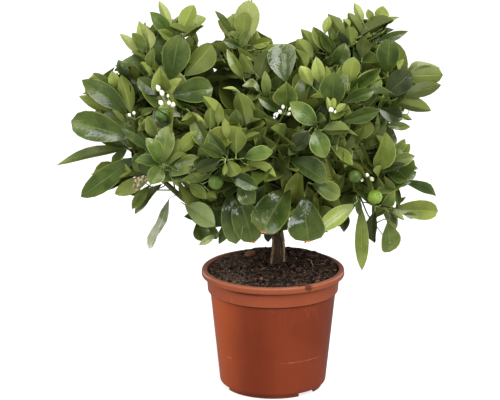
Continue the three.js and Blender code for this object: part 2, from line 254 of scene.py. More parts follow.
bpy.ops.object.light_add(type="SUN", location=(2, -2, 4), rotation=SUN_TURN)
sun = bpy.context.object
sun.name = "soft_sun"
sun.data.energy, sun.data.angle = SUN_POWER, SUN_WIDTH
for name, place, width, height, watts in LAMPS:
    towards = (TREE_MIDDLE - Vector(place)).to_track_quat("-Z", "Y")
    bpy.ops.object.light_add(type="AREA", location=place, rotation=towards.to_euler())
    lamp = bpy.context.object
    lamp.name = name
    lamp.data.shape = "RECTANGLE"
    lamp.data.size, lamp.data.size_y, lamp.data.energy = width, height, watts
    lamp.visible_glossy = name != "fill"
bpy.context.scene.view_settings.view_transform = "Standard"
print(len(LAMPS), "lamps and a sun")

# %% [markdown]
# ## Helpers for modelling
# An operator acts on whatever is selected, so each piece starts from an empty selection. `finish_piece`
# puts a piece's place into its mesh, smooths it, hangs it on the plant's body, and hides the plain solids
# that it stands for.

# %% Modelling helpers


def select_only(piece=None):
    bpy.ops.object.select_all(action="DESELECT")
    if piece:
        piece.select_set(True)
        bpy.context.view_layer.objects.active = piece


def apply_modifier(piece, kind, **settings):
    select_only(piece)
    modifier = piece.modifiers.new(kind.lower(), kind)
    for key, value in settings.items():
        setattr(modifier, key, value)
    bpy.ops.object.modifier_apply(modifier=modifier.name)


def vectors_of(items, key):
    """The places or other vectors of a mesh's vertices as an array."""
    flat = np.empty(len(items) * 3)
    items.foreach_get(key, flat)
    return flat.reshape(-1, 3)


def places_of(mesh):
    return vectors_of(mesh.vertices, "co")


def set_places(mesh, places):
    mesh.vertices.foreach_set("co", np.asarray(places, float).ravel())
    mesh.update()


def mark(piece, name, values):
    """Keeps a number or a vector for each vertex, which materials can read by its name."""
    kind, key = ("FLOAT", "value") if values.ndim == 1 else ("FLOAT_VECTOR", "vector")
    piece.data.attributes.new(name, kind, "POINT").data.foreach_set(key, values.ravel())


def ringed(name, sides, section):
    """A closed round body: a disc whose rim is extruded and scaled from ring to ring, in millimetres."""
    select_only()
    radius, height = section[0]
    bpy.ops.mesh.primitive_circle_add(
        vertices=sides, radius=radius * MM, location=(0, 0, height * MM), fill_type="TRIFAN")
    body = bpy.context.object
    body.name = name
    bpy.ops.object.transform_apply(location=True, rotation=False, scale=False)
    bpy.ops.object.mode_set(mode="EDIT")
    bpy.ops.mesh.select_all(action="SELECT")
    bpy.ops.mesh.region_to_loop()
    for next_radius, next_height in section[1:]:
        bpy.ops.mesh.extrude_edges_move(
            TRANSFORM_OT_translate={"value": (0, 0, (next_height - height) * MM)})
        bpy.ops.transform.resize(
            value=(next_radius / radius, next_radius / radius, 1), center_override=(0, 0, next_height * MM))
        radius, height = next_radius, next_height
    bpy.ops.mesh.edge_face_add()
    bpy.ops.mesh.poke()
    bpy.ops.mesh.select_all(action="SELECT")
    bpy.ops.mesh.normals_make_consistent(inside=False)
    bpy.ops.object.mode_set(mode="OBJECT")
    return body


def finish_piece(piece, stands_for, smooth_deg=40):
    """Smooths a piece, settles its place, and hangs it on the plant."""
    select_only(piece)
    bpy.ops.object.transform_apply(location=True, rotation=True, scale=True)
    if smooth_deg:
        bpy.ops.object.shade_smooth_by_angle(angle=radians(smooth_deg))
    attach(piece, BODY)
    if stands_for:
        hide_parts(*stands_for)
    piece.data.calc_loop_triangles()
    print(piece.name, len(piece.data.loop_triangles), "triangles")


# %% [markdown]
# ## The pot
# The pot is one shot of moulded plastic, with a thin wall, a rolled lip, a collar below it and a foot ring
# that is broken in three places so that water can run off. It is drawn as by hand, as a ring that is
# extruded and scaled again and again. Rings lie close together wherever the plastic turns a corner,
# because the light along the lip and the collar tells how sharp those corners are.

# %% Section of the pot
POT_SIDES = 144
LIP_RADIUS, LIP_TOP, LIP_FOOT = 95.0, 162.0, 152.5
MOUTH_RADIUS = 87.4
COLLAR_TOP_RADIUS, COLLAR_FOOT_RADIUS, COLLAR_FOOT = 88.2, 86.6, 133.0
WALL_TOP_RADIUS, WALL_FOOT_RADIUS = 83.4, 70.8
CORNER, WALL, STANDOFF = 5.0, 1.6, 5.0
RING_INNER, RING_OUTER, PAD_RADIUS = 62.0, 65.4, 15.0


def arc(centre, radius, start_deg, end_deg, steps):
    """Points of a round in section, as (radius, height)."""
    turns = [radians(start_deg + (end_deg - start_deg) * i / steps) for i in range(steps + 1)]
    return [(centre[0] + radius * cos(t), centre[1] + radius * sin(t)) for t in turns]


def corner(radius, start_deg, end_deg):
    """The round between wall and floor."""
    return arc((WALL_FOOT_RADIUS - CORNER, STANDOFF + CORNER), radius, start_deg, end_deg, 6)


pot_section = [
    (PAD_RADIUS, 0), (PAD_RADIUS + 0.5, 0.4), (PAD_RADIUS + 1.5, STANDOFF),
    (RING_INNER - 1, STANDOFF), (RING_INNER, STANDOFF - 0.6), (RING_INNER + 0.2, 0.5), (RING_INNER + 0.7, 0),
    (RING_OUTER - 0.8, 0), (RING_OUTER - 0.2, 0.5), (RING_OUTER, STANDOFF - 0.5),
    *corner(CORNER, -90, 0),
    (WALL_TOP_RADIUS, COLLAR_FOOT - 2.2), (WALL_TOP_RADIUS + 0.3, COLLAR_FOOT - 1.2),
    *arc((COLLAR_FOOT_RADIUS - 0.9, COLLAR_FOOT + 0.6), 1.1, -80, 0, 4),
    (COLLAR_TOP_RADIUS, LIP_FOOT - 1.2), (COLLAR_TOP_RADIUS + 0.3, LIP_FOOT - 0.4),
    *arc((LIP_RADIUS - 2.4, LIP_FOOT + 2.6), 2.4, -85, 0, 5),
    *arc((LIP_RADIUS - 3.2, LIP_TOP - 3.0), 3.0, 5, 90, 6),
    *arc((MOUTH_RADIUS + 2.2, LIP_TOP - 2.2), 2.2, 90, 180, 5),
    (COLLAR_TOP_RADIUS - WALL, LIP_FOOT - 2), (COLLAR_FOOT_RADIUS - WALL, COLLAR_FOOT + WALL),
    (WALL_TOP_RADIUS - WALL, COLLAR_FOOT - 2),
    *corner(CORNER - WALL, 0, -90),
    (20, STANDOFF + WALL),
]
print("pot section:", len(pot_section), "points")

# %% Turning the pot
pot = ringed("pot_moulded", POT_SIDES, pot_section)
print("pot:", len(pot.data.polygons), "faces")

# %% [markdown]
# The breaks in the foot ring and the four drain holes are cut with the Boolean modifier. Each cutter is a
# primitive that is thrown away after its cut.

# %% Foot breaks and drain holes
FOOT_BREAKS_DEG, BREAK_WIDTH_DEG = (44, 164, 284), 24.5
BREAK_DEPTH, BREAK_HEIGHT, BREAK_MIDDLE = 12, 6.4, 1.4
HOLE_CIRCLE, HOLE_RADIUS, HOLES, FIRST_HOLE_DEG, DRILL_LENGTH = 46, 4.5, 4, 14, 12


def at_angle(radius, degrees, height):
    """A point round the pot, with angles counted from the front towards +X."""
    turn = radians(degrees)
    return Vector((radius * sin(turn), -radius * cos(turn), height)) * MM


def cut_from(piece, cutter):
    apply_modifier(piece, "BOOLEAN", operation="DIFFERENCE", object=cutter, solver="EXACT")
    bpy.data.objects.remove(cutter)


break_width = 2 * RING_OUTER * tan(radians(BREAK_WIDTH_DEG / 2))
for degrees in FOOT_BREAKS_DEG:
    select_only(pot)
    bpy.ops.mesh.primitive_cube_add(
        size=1, location=at_angle(RING_OUTER - 1, degrees, BREAK_MIDDLE), rotation=(0, 0, radians(degrees)))
    cutter = bpy.context.object
    cutter.scale = Vector((break_width, BREAK_DEPTH, BREAK_HEIGHT)) * MM
    cut_from(pot, cutter)
for i in range(HOLES):
    select_only(pot)
    bpy.ops.mesh.primitive_cylinder_add(
        vertices=32, radius=HOLE_RADIUS * MM, depth=DRILL_LENGTH * MM,
        location=at_angle(HOLE_CIRCLE, FIRST_HOLE_DEG + 360 / HOLES * i, STANDOFF))
    cut_from(pot, bpy.context.object)
print("pot after cuts:", len(pot.data.polygons), "faces")

# %% [markdown]
# ### The plastic
# The plastic is satin, a little paler where it has been scuffed, and marked by faint scratches round its
# waist: noise that is stretched round the pot until it breaks up into level lines. Wet soil leaves a brown
# smear along the lip. Light and shade are painted into the colour too: a paler band down the left side,
# painted shade just left of the middle, a painted highlight along the top of the lip, and painted shadow
# under the lip and under the collar.

# %% Plastic
# Across the pot: where the painted light of the left band runs, and where the painted shade left of the
# middle lies.
LIT_BAND_FROM, LIT_BAND_TO, PAINTED_SHADE_AT, PAINTED_SHADE_REACH = -78, -34, -20, 34  # across the pot, in mm
SCRATCH_HEIGHT, SCRATCH_SHARE = 50, 0.2
SMUDGE_AT = (47 * MM, -84 * MM, 160 * MM)
SHADOW_WEDGE_AT, SHADOW_WEDGE_FOOT = -36, 5.2
# The next number places a line of painted shadow in the crease under the lip and under the collar.
SHADOW_LINE_DEPTH = 1.3  # the groove's middle below the lip's and the collar's foot

plastic, shader = new_material("terracotta_plastic")
where = place_on(shader)
across_pot = add("SeparateXYZ", {0: where}).outputs[0]
height_of = add("SeparateXYZ", {0: where}).outputs[2]
round_pot = add("Mapping", {"Vector": where, "Scale": (1, 1, 26)}).outputs[0]
up_pot = add("Mapping", {"Vector": where, "Scale": (1, 1, 0.06)}).outputs[0]
clouds = mottle(where, 60, 2)
streaks = mottle(up_pot, 7, 3)


def on_pot(share, code):
    """The pot's colour so far with one more laid over it."""
    return mixed(share, base, code)


base = mixed(ramp(clouds, 0.3, 0.7), "5e2614", "662b18")
base = on_pot(ramp(streaks, 0.35, 0.75, 0, 0.3), "5a210f")
# Painted light: a paler band down the left side of the pot.
base = on_pot(ramp(across_pot, LIT_BAND_TO * MM, LIT_BAND_FROM * MM, 0, 0.75), "96431b")
# Painted shade: a darker strip just left of the pot's middle.
base = on_pot(ramp(gap_between(across_pot, PAINTED_SHADE_AT * MM), PAINTED_SHADE_REACH * MM, 0.0, 0, 0.5), "521e0d")
# The collar and the lip are a little paler than the body, in clouds.
paler_collar_and_lip = times(ramp(height_of, 0.1325, 0.1335), ramp(clouds, 0.2, 0.6, 0.6, 0.9))
base = on_pot(paler_collar_and_lip, "783c26")
base = on_pot(ramp(height_of, 0.1525, 0.1535, 0, 0.7), "723c26")
# Painted highlight: a paler line along the rounded top of the lip.
base = on_pot(ramp(height_of, 0.1582, 0.1610, 0, 0.4), "94604a")
level_scratches = ramp(mottle(round_pot, 42, 4, 0.7), 0.70, 0.78)
level_scratches = times(level_scratches, ramp(mottle(where, 34, 2), 0.5, 0.64))
base = on_pot(times(level_scratches, 0.2), "c98a6a")
waviness = add("TexNoise", {"Vector": where, "Scale": 9.0, "Detail": 1.0}).outputs["Fac"]
off_line = gap_between(height_of, maths("MULTIPLY_ADD", waviness, 0.004, SCRATCH_HEIGHT * MM))
long_scratch = times(ramp(off_line, 0.0008, 0.0002), ramp(mottle(where, 28, 2), 0.5, 0.7))
base = on_pot(times(long_scratch, SCRATCH_SHARE), "d09a78")
scuffs = times(ramp(mottle(up_pot, 1.6, 3), 0.56, 0.7), ramp(mottle(where, 26, 2), 0.52, 0.64))
scuffs = times(scuffs, ramp(height_of, 0.104, 0.124))
base = on_pot(times(scuffs, 0.15), "b98a72")
# Painted shadow: a dark line in the crease under the lip and under the collar.
for foot in (COLLAR_FOOT, LIP_FOOT):
    off_shadow_line = gap_between(height_of, (foot - SHADOW_LINE_DEPTH) * MM)
    base = on_pot(ramp(off_shadow_line, 0.0016, 0.0006, 0, 0.75), "3a160b")
smear = times(ramp(height_of, 0.1555, 0.1605), ramp(mottle(where, 9, 4), 0.56, 0.68))
base = on_pot(times(smear, 0.5), "4a2c1f")
from_smudge = add("VectorMath", {0: where, 1: SMUDGE_AT}, operation="DISTANCE").outputs["Value"]
ragged = maths("MULTIPLY_ADD", mottle(where, 3, 3), -0.008, from_smudge)
base = on_pot(ramp(ragged, 0.0035, -0.001, 0, 0.8), "2c1810")
# Painted shadow: a darker wedge just under the lip, on the left.
shadow_wedge = ramp(gap_between(across_pot, SHADOW_WEDGE_AT * MM), 0.030, 0.010)
shadow_wedge = times(shadow_wedge, ramp(height_of, (LIP_FOOT - SHADOW_WEDGE_FOOT) * MM, (LIP_FOOT - 2.4) * MM))
shadow_wedge = times(shadow_wedge, ramp(height_of, (LIP_FOOT + 0.4) * MM, LIP_FOOT * MM))
base = on_pot(times(shadow_wedge, 0.7), "3a160b")
wear(shader, base, ramp(streaks, 0.3, 0.8, 0.30, 0.40), 0.14, **{"Specular Tint": (1, 0.72, 0.58, 1)})
relief(shader, mottle(where, 1.1, 2), 0.02)
pot.data.materials.append(plastic)
finish_piece(pot, ["pot"])

# %% [markdown]
# ## The soil
# Peat with bark and fibre in it, heaped up against the trunk. The body of it is a ring that is extruded up
# the wall and then inwards in small steps, so that its rings are fine enough to be pushed up and down into
# lumps. Loose crumbs, chips and fibres are modelled once each and copied by the hundred into one mesh.

# %% Mound of soil
SOIL_SIDES, SOIL_STEP = 190, 1.15
SOIL_EDGE_RADIUS, SOIL_EDGE, SOIL_MOUND, TRUNK_FOOT = 84.9, 158.2, 170.0, Vector((7.2, 6.0)) * MM
SOIL_LEAN = Vector((2.4, 7.6))
SOIL_BOTTOM, SOIL_BOTTOM_RADIUS = STANDOFF + WALL + 0.4, WALL_FOOT_RADIUS - 4


def soil_level(x, y):
    """Height of the soil's surface in metres at a place in metres."""
    reach = hypot(x, y) / (SOIL_EDGE_RADIUS * MM)
    near = hypot(x - TRUNK_FOOT.x, y - TRUNK_FOOT.y) / (SOIL_EDGE_RADIUS * MM)
    heap = max(0.0, 1 - near) ** 1.25
    lean = (SOIL_LEAN.x * x + SOIL_LEAN.y * y) / SOIL_EDGE_RADIUS * (1 - 0.6 * heap)
    fade = min(1.0, max(0.4, (1 - reach) * 9))
    return (SOIL_EDGE + heap * (SOIL_MOUND - SOIL_EDGE)) * MM + lean + soil_lump(x, y) * fade


def soil_lump(x, y):
    """How far lumps and grit lift the soil at a place, in metres."""
    place = Vector((x, y, 0))
    lumps = noise.fractal(place * 75, 0.8, 2.1, 2) * 2.1
    clods = noise.fractal(place * 170 + Vector((5, 2, 7)), 0.8, 2.1, 2) * 2.2
    grit = noise.fractal(place * 420 + Vector((3, 8, 1)), 0.9, 2.3, 3) * 0.9
    return (lumps + clods + grit) * MM


soil = ringed("potting_soil", SOIL_SIDES, [
    (SOIL_BOTTOM_RADIUS, SOIL_BOTTOM), (WALL_FOOT_RADIUS - WALL - 0.5, STANDOFF + CORNER),
    (WALL_TOP_RADIUS - WALL - 0.4, COLLAR_FOOT - 2), (COLLAR_FOOT_RADIUS - WALL - 0.4, COLLAR_FOOT + WALL),
    (SOIL_EDGE_RADIUS + 0.9, SOIL_EDGE - 1),
    *((SOIL_EDGE_RADIUS - SOIL_STEP * i, SOIL_EDGE) for i in range(int(SOIL_EDGE_RADIUS / SOIL_STEP)))])
places = places_of(soil.data)
lifts = np.zeros(len(places))
for i, (x, y, z) in enumerate(places):
    if z > (SOIL_EDGE - 0.5) * MM:
        places[i, 2] = soil_level(x, y)
        lifts[i] = soil_lump(x, y) / MM
set_places(soil.data, places)
mark(soil, "lift", lifts)
print("soil:", len(soil.data.polygons), "faces, up to", round(places[:, 2].max() / MM), "mm")

# %% [markdown]
# ### Peat
# Wet peat is nearly black, with paler fibres and rusty bits. The colour comes from three sizes of noise,
# and the finest one also lifts the surface. On the left it is painted paler, as painted light, and the
# soil's pits are darkened as painted shade.

# %% Peat material


def peat(name, dark, light, rust, size_mm, pitted=False):
    """An earthy, rough material of three browns."""
    material, shader = new_material(name)
    where = place_on(shader)
    coarse, fine = mottle(where, size_mm * 4, 3), mottle(where, size_mm, 5, 0.7)
    base = mixed(ramp(fine, 0.42, 0.64), dark, light)
    base = mixed(ramp(coarse, 0.52, 0.72, 0, 0.6), base, rust)
    base = mixed(ramp(mottle(where, size_mm * 0.5, 2), 0.66, 0.74, 0, 0.6), base, "8a7258")
    # Painted light: the soil is paler on the left.
    painted_light_left = ramp(add("SeparateXYZ", {0: where}).outputs[0], -0.010, -0.055, 0, 0.6)
    base = mixed(times(painted_light_left, ramp(fine, 0.44, 0.6)), base, "8c7866")
    # Painted shade: the pits between the lumps are darkened by how low they lie.
    if pitted:
        lift = source(shader.id_data, "Attribute", "Fac", attribute_name="lift")
        base = mixed(ramp(lift, 0.5, -1.1, 0, 0.85), base, "0d0806")
    wear(shader, base, ramp(coarse, 0.3, 0.7, 0.72, 0.95), 0.06)
    relief(shader, fine, 1.6)
    return material


soil.data.materials.append(peat("peat", "0e0b0a", "53453c", "463024", 2.4, pitted=True))
finish_piece(soil, ["soil"], smooth_deg=70)

# %% [markdown]
# ### Loose bits
# `scattered` joins many copies of a few small shapes into one mesh from arrays. Each copy is turned and
# stretched at random from one seeded generator, so the scatter is the same on every run.

# %% Scattering copies


def shape_arrays(make, shape_name):
    """Vertices and faces of a small shape that an operator makes and that is then thrown away."""
    select_only()
    make()
    piece = bpy.context.object
    piece.name = shape_name
    vertices = places_of(piece.data)
    faces = [tuple(face.vertices) for face in piece.data.polygons]
    bpy.data.objects.remove(piece)
    print(shape_name, len(faces), "faces")
    return vertices, faces


def mesh_of(name, parts, materials):
    """One object from parts, each (vertices, faces, material index)."""
    vertices, faces, worn, offset = [], [], [], 0
    for points, corners, index in parts:
        vertices.append(points)
        faces += [tuple(c + offset for c in face) for face in corners]
        worn += [index] * len(corners) if isinstance(index, int) else list(index)
        offset += len(points)
    mesh = bpy.data.meshes.new(name)
    mesh.from_pydata(np.concatenate(vertices).tolist(), [], faces)
    mesh.polygons.foreach_set("material_index", worn)
    mesh.update()
    piece = bpy.data.objects.new(name, mesh)
    bpy.context.scene.collection.objects.link(piece)
    for material in materials:
        mesh.materials.append(material)
    return piece


def any_of(draw, *limits):
    """Three random numbers, each drawn in the same way."""
    return [draw(*limits) for _ in range(3)]


def turn_round(dice, reach, axis):
    """A random turn about an axis by up to reach either way."""
    return Matrix.Rotation(dice.uniform(-reach, reach), 3, axis)


def lumpy(piece, amount, size, rest=1.0):
    """Pushes the vertices of a small shape in and out."""
    shape = [Vector(p) * (rest + amount * noise.noise(Vector(p) * size)) for p in places_of(piece.data)]
    set_places(piece.data, shape)


def make_clod():
    """A crumb: a coarse ball pushed out of round."""
    bpy.ops.mesh.primitive_ico_sphere_add(subdivisions=1, radius=1)
    lumpy(bpy.context.object, 0.35, 1.7, rest=0.8)


def make_chip():
    """A flake of bark: a thin bevelled slab with rough ends."""
    bpy.ops.mesh.primitive_cube_add(size=2)
    chip = bpy.context.object
    chip.scale = (1, 0.55, 0.16)
    bpy.ops.object.transform_apply(location=False, rotation=False, scale=True)
    apply_modifier(chip, "BEVEL", width=0.12, segments=1)
    lumpy(chip, 0.3, 1.3)


def tube(points, radii, sides=6):
    """Vertices and faces of a round closed tube through points, all in metres."""
    points = [Vector(p) for p in points]
    side, vertices, faces, last = None, [], [], len(points) - 1
    for i, point in enumerate(points):
        along = (points[min(i + 1, last)] - points[max(i - 1, 0)]).normalized()
        side = along.orthogonal() if side is None else side - along * side.dot(along)
        side.normalize()
        other = along.cross(side)
        for k in range(sides):
            turn = 2 * pi * k / sides
            vertices.append(point + (side * cos(turn) + other * sin(turn)) * radii[i])
    for i in range(last):
        for k in range(sides):
            a, b = i * sides + k, i * sides + (k + 1) % sides
            faces.append((a, b, b + sides, a + sides))
    faces.append(tuple(reversed(range(sides))))
    faces.append(tuple(last * sides + k for k in range(sides)))
    return np.array(vertices), faces


clod_shape, chip_shape = shape_arrays(make_clod, "clod"), shape_arrays(make_chip, "chip")

# %% Crumbs, chips and fibres
CRUMBS, CHIPS, FIBRES, PALE_BITS = 1500, 60, 240, 70
DARK_CRUMB, BROWN_CRUMB, PALE, FIBRE, BARK_CHIP, STRAW = range(6)
soil_dice = random.Random(41)
loose = []


def place_on_soil(most, lift_mm=0.0):
    """A random place on the soil, most of its radius out at the furthest."""
    reach, turn = SOIL_EDGE_RADIUS * MM * most * sqrt(soil_dice.random()), soil_dice.uniform(0, 2 * pi)
    x, y = reach * cos(turn), reach * sin(turn)
    return Vector((x, y, soil_level(x, y) + lift_mm * MM))


def loose_bit(shape, dice, place, size, stretch, index, flat=False):
    """One copy of a small shape, size in millimetres, lying at a place."""
    axis = Vector(any_of(dice.uniform, -1, 1)) + Vector((0, 0, 1e-4))
    turn = Matrix.Rotation(dice.uniform(0, 2 * pi), 3, axis.normalized())
    if flat:
        tilt = turn_round(dice, 0.45, "X") @ turn_round(dice, 0.4, "Y")
        turn = Matrix.Rotation(dice.uniform(0, 2 * pi), 3, "Z") @ tilt
    points = shape[0] * np.array(stretch) * (size * MM)
    loose.append((points @ np.array(turn).T + np.array(place), shape[1], index))


for _ in range(CRUMBS):
    place = place_on_soil(0.97)
    size = soil_dice.uniform(0.6, 2.1) * (2.1 if soil_dice.random() < 0.08 else 1)
    loose_bit(clod_shape, soil_dice, place, size, any_of(soil_dice.uniform, 0.6, 1.3),
              DARK_CRUMB if soil_dice.random() < 0.62 else BROWN_CRUMB)
for _ in range(CHIPS):
    loose_bit(chip_shape, soil_dice, place_on_soil(0.9, 0.6), soil_dice.uniform(2, 4.8), (1, 0.8, 1),
              BROWN_CRUMB, flat=True)
for _ in range(PALE_BITS):
    loose_bit(clod_shape, soil_dice, place_on_soil(0.94, 0.5), soil_dice.uniform(0.4, 0.9), (1.4, 0.9, 0.8),
              PALE if soil_dice.random() < 0.3 else BARK_CHIP)
for _ in range(FIBRES):
    start = place_on_soil(0.93)
    turn, length = soil_dice.uniform(0, 2 * pi), soil_dice.uniform(4, 13) * MM
    bend, steps, path = soil_dice.uniform(-1.6, 1.6), 5, [start]
    for i in range(steps):
        turn += bend / steps
        x, y = path[-1].x + cos(turn) * length / steps, path[-1].y + sin(turn) * length / steps
        if hypot(x, y) > (SOIL_EDGE_RADIUS - 2) * MM:
            break
        path.append(Vector((x, y, soil_level(x, y) + soil_dice.uniform(0.2, 1.3) * MM)))
    if len(path) > 2:
        width = soil_dice.uniform(0.18, 0.42) * MM
        index = FIBRE if soil_dice.random() < 0.6 else BROWN_CRUMB
        loose.append((*tube(path, [width] * len(path), 4), index))
print(len(loose), "loose bits")

# %% [markdown]
# A few bits stand out from the rest and are laid one by one: the big bark chip left of the trunk, the white
# curved fibre right of it, a straw-coloured flake at the right edge and the crumbs that spilled on the lip.

# %% Bits that stand out
HAND_LAID = [  # shape, material, then column and row in the front view, size in mm and stretch of each
    (clod_shape, BARK_CHIP, [(250, 254, 8.0, (1.2, 0.9, 1.0)), (247, 256, 6.4, (1.2, 0.9, 0.9))]),
    (clod_shape, BROWN_CRUMB, [
        (257, 258, 4.2, (1.2, 0.9, 0.7)), (262, 256, 4.4, (1.0, 0.9, 1.0)), (236, 259, 4.0, (1.3, 0.9, 0.7)),
        (226, 262, 4.6, (1.3, 0.9, 0.7)), (216, 268, 4.2, (1.2, 0.9, 0.7)),
        (312, 256, 4.0, (1.3, 0.9, 0.7))]),
    (chip_shape, PALE, [(245, 260, 2.2, (1.0, 0.7, 1.0))]),
    (clod_shape, PALE, [(249, 262, 1.5, (1.6, 0.8, 0.8))]),
    (chip_shape, STRAW, [(248, 264, 1.8, (1.0, 0.3, 0.8)), (335, 270, 3.4, (1.0, 0.5, 0.8))]),
    (chip_shape, BARK_CHIP, [(305, 251, 2.6, (1.0, 0.6, 0.8)), (323, 264, 4.6, (1.0, 0.4, 0.8))]),
    (chip_shape, STRAW, [(266, 280, 2.6, (1.0, 0.25, 0.8))]),
]
CURVED_FIBRE = [(308, 260, 1.0), (311, 262, 2.4), (313, 267, 0.8)]  # column, row, height above the soil
LIP_CRUMBS_DEG = [(20, 27, 26), (-64, -54, 9), (60, 66, 5)]  # from, to, how many


def on_soil(column, row, lift_mm=0.0):
    """Where the line of sight through a place of the front view meets the soil."""
    depth = 84.0
    while depth > -84 and spot(column, row, depth).z < soil_level(*spot(column, row, depth).xy):
        depth -= 1.0
    return spot(column, row, depth) + Vector((0, 0, lift_mm * MM))


hand_dice = random.Random(6)
for shape, index, bits in HAND_LAID:
    for column, row, size, stretch in bits:
        loose_bit(shape, hand_dice, on_soil(column, row), size, stretch, index, flat=True)
loose.append((*tube([on_soil(*place) for place in CURVED_FIBRE], [0.35 * MM] * 3, 5), PALE))
for start, end, count in LIP_CRUMBS_DEG:
    for _ in range(count):
        reach = soil_dice.uniform(MOUTH_RADIUS + 0.5, LIP_RADIUS - 2.5)
        place = at_angle(reach, soil_dice.gauss((start + end) / 2, (end - start) / 3), LIP_TOP + 0.2)
        loose_bit(clod_shape, soil_dice, place, soil_dice.uniform(0.4, 1.2), (1.2, 1, 0.5), DARK_CRUMB)
LOOSE_PAINTS = [  # in the order of the names given above: three browns and the size of the pattern
    ("crumb_dark", "100d0b", "3c3129", "30231c", 1.6), ("crumb_brown", "34261f", "7a6354", "7d5540", 1.6),
    ("pale_bit", "a89d8a", "d8cfc0", "8a7a66", 1.2), ("root_fibre", "4b3626", "7d6048", "5b3d29", 1.2),
    ("bark_chip", "5c3822", "b5805a", "8a5232", 1.8), ("straw", "8a6a34", "c9a866", "7a5528", 1.4),
]
crumbs = mesh_of("soil_crumbs", loose, [peat(*paints) for paints in LOOSE_PAINTS])
finish_piece(crumbs, [], smooth_deg=0)

# %% [markdown]
# ## Trunk and boughs
# The plain model gives each limb as a smooth path with a thickness at both ends. Here the same paths are
# curves with a bevel, the quickest way to draw a branch. A voxel remesh melts them into one skin with soft
# crotches, and a little smoothing takes the marks of the voxels away. The skin is then fine enough to carry
# the bark's own relief.

# %% Paths of the limbs
Limb = namedtuple("Limb", "thick thin path")
LIMBS = {  # radii and points in millimetres
    "trunk": Limb(9.2, 6.0, [
        (5.4, 6, 158), (7.5, 6, 194), (4.5, 6, 216), (3, 6, 245), (6, 5, 280), (9, 4, 306)]),
    "bough_left_low": Limb(5.2, 2.9, [
        (4, 6, 212), (-30, 8, 222), (-72, 4, 235), (-110, 0, 251), (-142, -4, 280), (-166, -6, 306)]),
    "bough_left_high": Limb(5.4, 3.2, [
        (4, 6, 258), (-38, 14, 296), (-84, 20, 345), (-120, 16, 398), (-134, 10, 430)]),
    "bough_left_out": Limb(4.0, 2.8, [(-58, 17, 316), (-92, 12, 330), (-136, 6, 346), (-184, 2, 366)]),
    "bough_middle": Limb(5.0, 3.6, [(9, 4, 304), (5, 12, 332), (-6, 24, 368), (-12, 28, 396)]),
    "bough_right_high": Limb(5.4, 3.2, [
        (7, 5, 284), (40, 1, 312), (78, -4, 356), (92, 0, 404), (98, 2, 436)]),
    "bough_right_out": Limb(4.8, 3.0, [
        (5, 6, 264), (48, 14, 288), (98, 14, 324), (134, 10, 358), (154, 8, 388)]),
    "bough_right_low": Limb(3.8, 2.4, [
        (9, 3, 298), (14, -20, 310), (22, -34, 298), (38, -38, 286), (84, -36, 284), (150, -30, 290)]),
    "bough_front": Limb(4.4, 2.8, [(4, 5, 240), (-2, -24, 262), (-12, -58, 296), (-20, -92, 330)]),
    "bough_under_left": Limb(3.8, 2.6, [(4, 6, 222), (-16, -12, 234), (-38, -30, 244), (-62, -46, 252)]),
    "bough_under_right": Limb(3.8, 2.6, [(4, 5, 230), (16, -14, 240), (30, -34, 247), (46, -52, 250)]),
    "bough_back_left": Limb(4.8, 3.0, [(4, 6, 232), (-20, 28, 262), (-56, 56, 300), (-96, 94, 336)]),
    "bough_back_right": Limb(4.8, 3.0, [(4, 6, 248), (26, 30, 276), (56, 58, 308), (86, 96, 340)]),
}
TRUNK_FLARE, FLARE_HEIGHT, GROUND = 0.16, 12.0, 168.0
DEAD_STUB = Limb(1.9, 0.9, [(5, 3, 196), (11, -1, 206), (13.5, -3, 219), (17, -4, 228)])
SAMPLE_GAP = 4


def smooth_path(points, spacing):
    """Points about `spacing` apart on a smooth curve through the given ones."""
    points = [Vector(p) for p in points]
    ends = [points[0] * 2 - points[1]] + points + [points[-1] * 2 - points[-2]]
    path = []
    for a, b, c, d in zip(ends, ends[1:], ends[2:], ends[3:]):
        steps = max(1, round((c - b).length / spacing))
        for t in (i / steps for i in range(steps)):
            path.append(0.5 * (2 * b + (c - a) * t + (2 * a - 5 * b + 4 * c - d) * t * t
                               + (3 * b - a - 3 * c + d) * t ** 3))
    return path + [points[-1]]


def limb_object(name, path, radii):
    """A limb drawn as a bevelled curve, turned into a mesh."""
    curve = bpy.data.curves.new(name, "CURVE")
    curve.dimensions, curve.bevel_depth, curve.bevel_resolution, curve.use_fill_caps = "3D", 1.0, 5, True
    spline = curve.splines.new("POLY")
    spline.points.add(len(path) - 1)
    for point, place, radius in zip(spline.points, path, radii):
        point.co = (*(place * MM), 1)
        point.radius = radius * MM
    piece = bpy.data.objects.new(name, curve)
    bpy.context.scene.collection.objects.link(piece)
    select_only(piece)
    bpy.ops.object.convert(target="MESH")
    return bpy.context.object


limb_pieces, limb_places, limb_radii, limb_along, limb_ways = [], [], [], [], []
for order, (name, limb) in enumerate([*LIMBS.items(), ("dead_stub", DEAD_STUB)]):
    path = smooth_path(limb.path, SAMPLE_GAP)
    last = len(path) - 1
    radii = [limb.thick + (limb.thin - limb.thick) * i / last for i in range(last + 1)]
    if name == "trunk":
        flare = [TRUNK_FLARE * exp(-max(0, p.z - GROUND) / FLARE_HEIGHT) for p in path]
        radii = [radius * (1 + more) for radius, more in zip(radii, flare)]
    limb_pieces.append(limb_object(name + "_curve", path, radii))
    limb_places += path
    limb_radii += radii
    limb_along += [order * 50 + i * SAMPLE_GAP for i in range(last + 1)]
    limb_ways += [(path[min(i + 1, last)] - path[max(i - 1, 0)]).normalized() for i in range(last + 1)]
print(len(limb_pieces), "limbs,", len(limb_places), "samples")

# %% [markdown]
# For every point of the skin the sample whose own surface is nearest tells which way the limb runs there
# and how thick it is. Noise squeezed along that way gives long shallow ridges, deeper on the trunk than on
# young boughs. The same stretched places are kept on the mesh for the bark's colours.

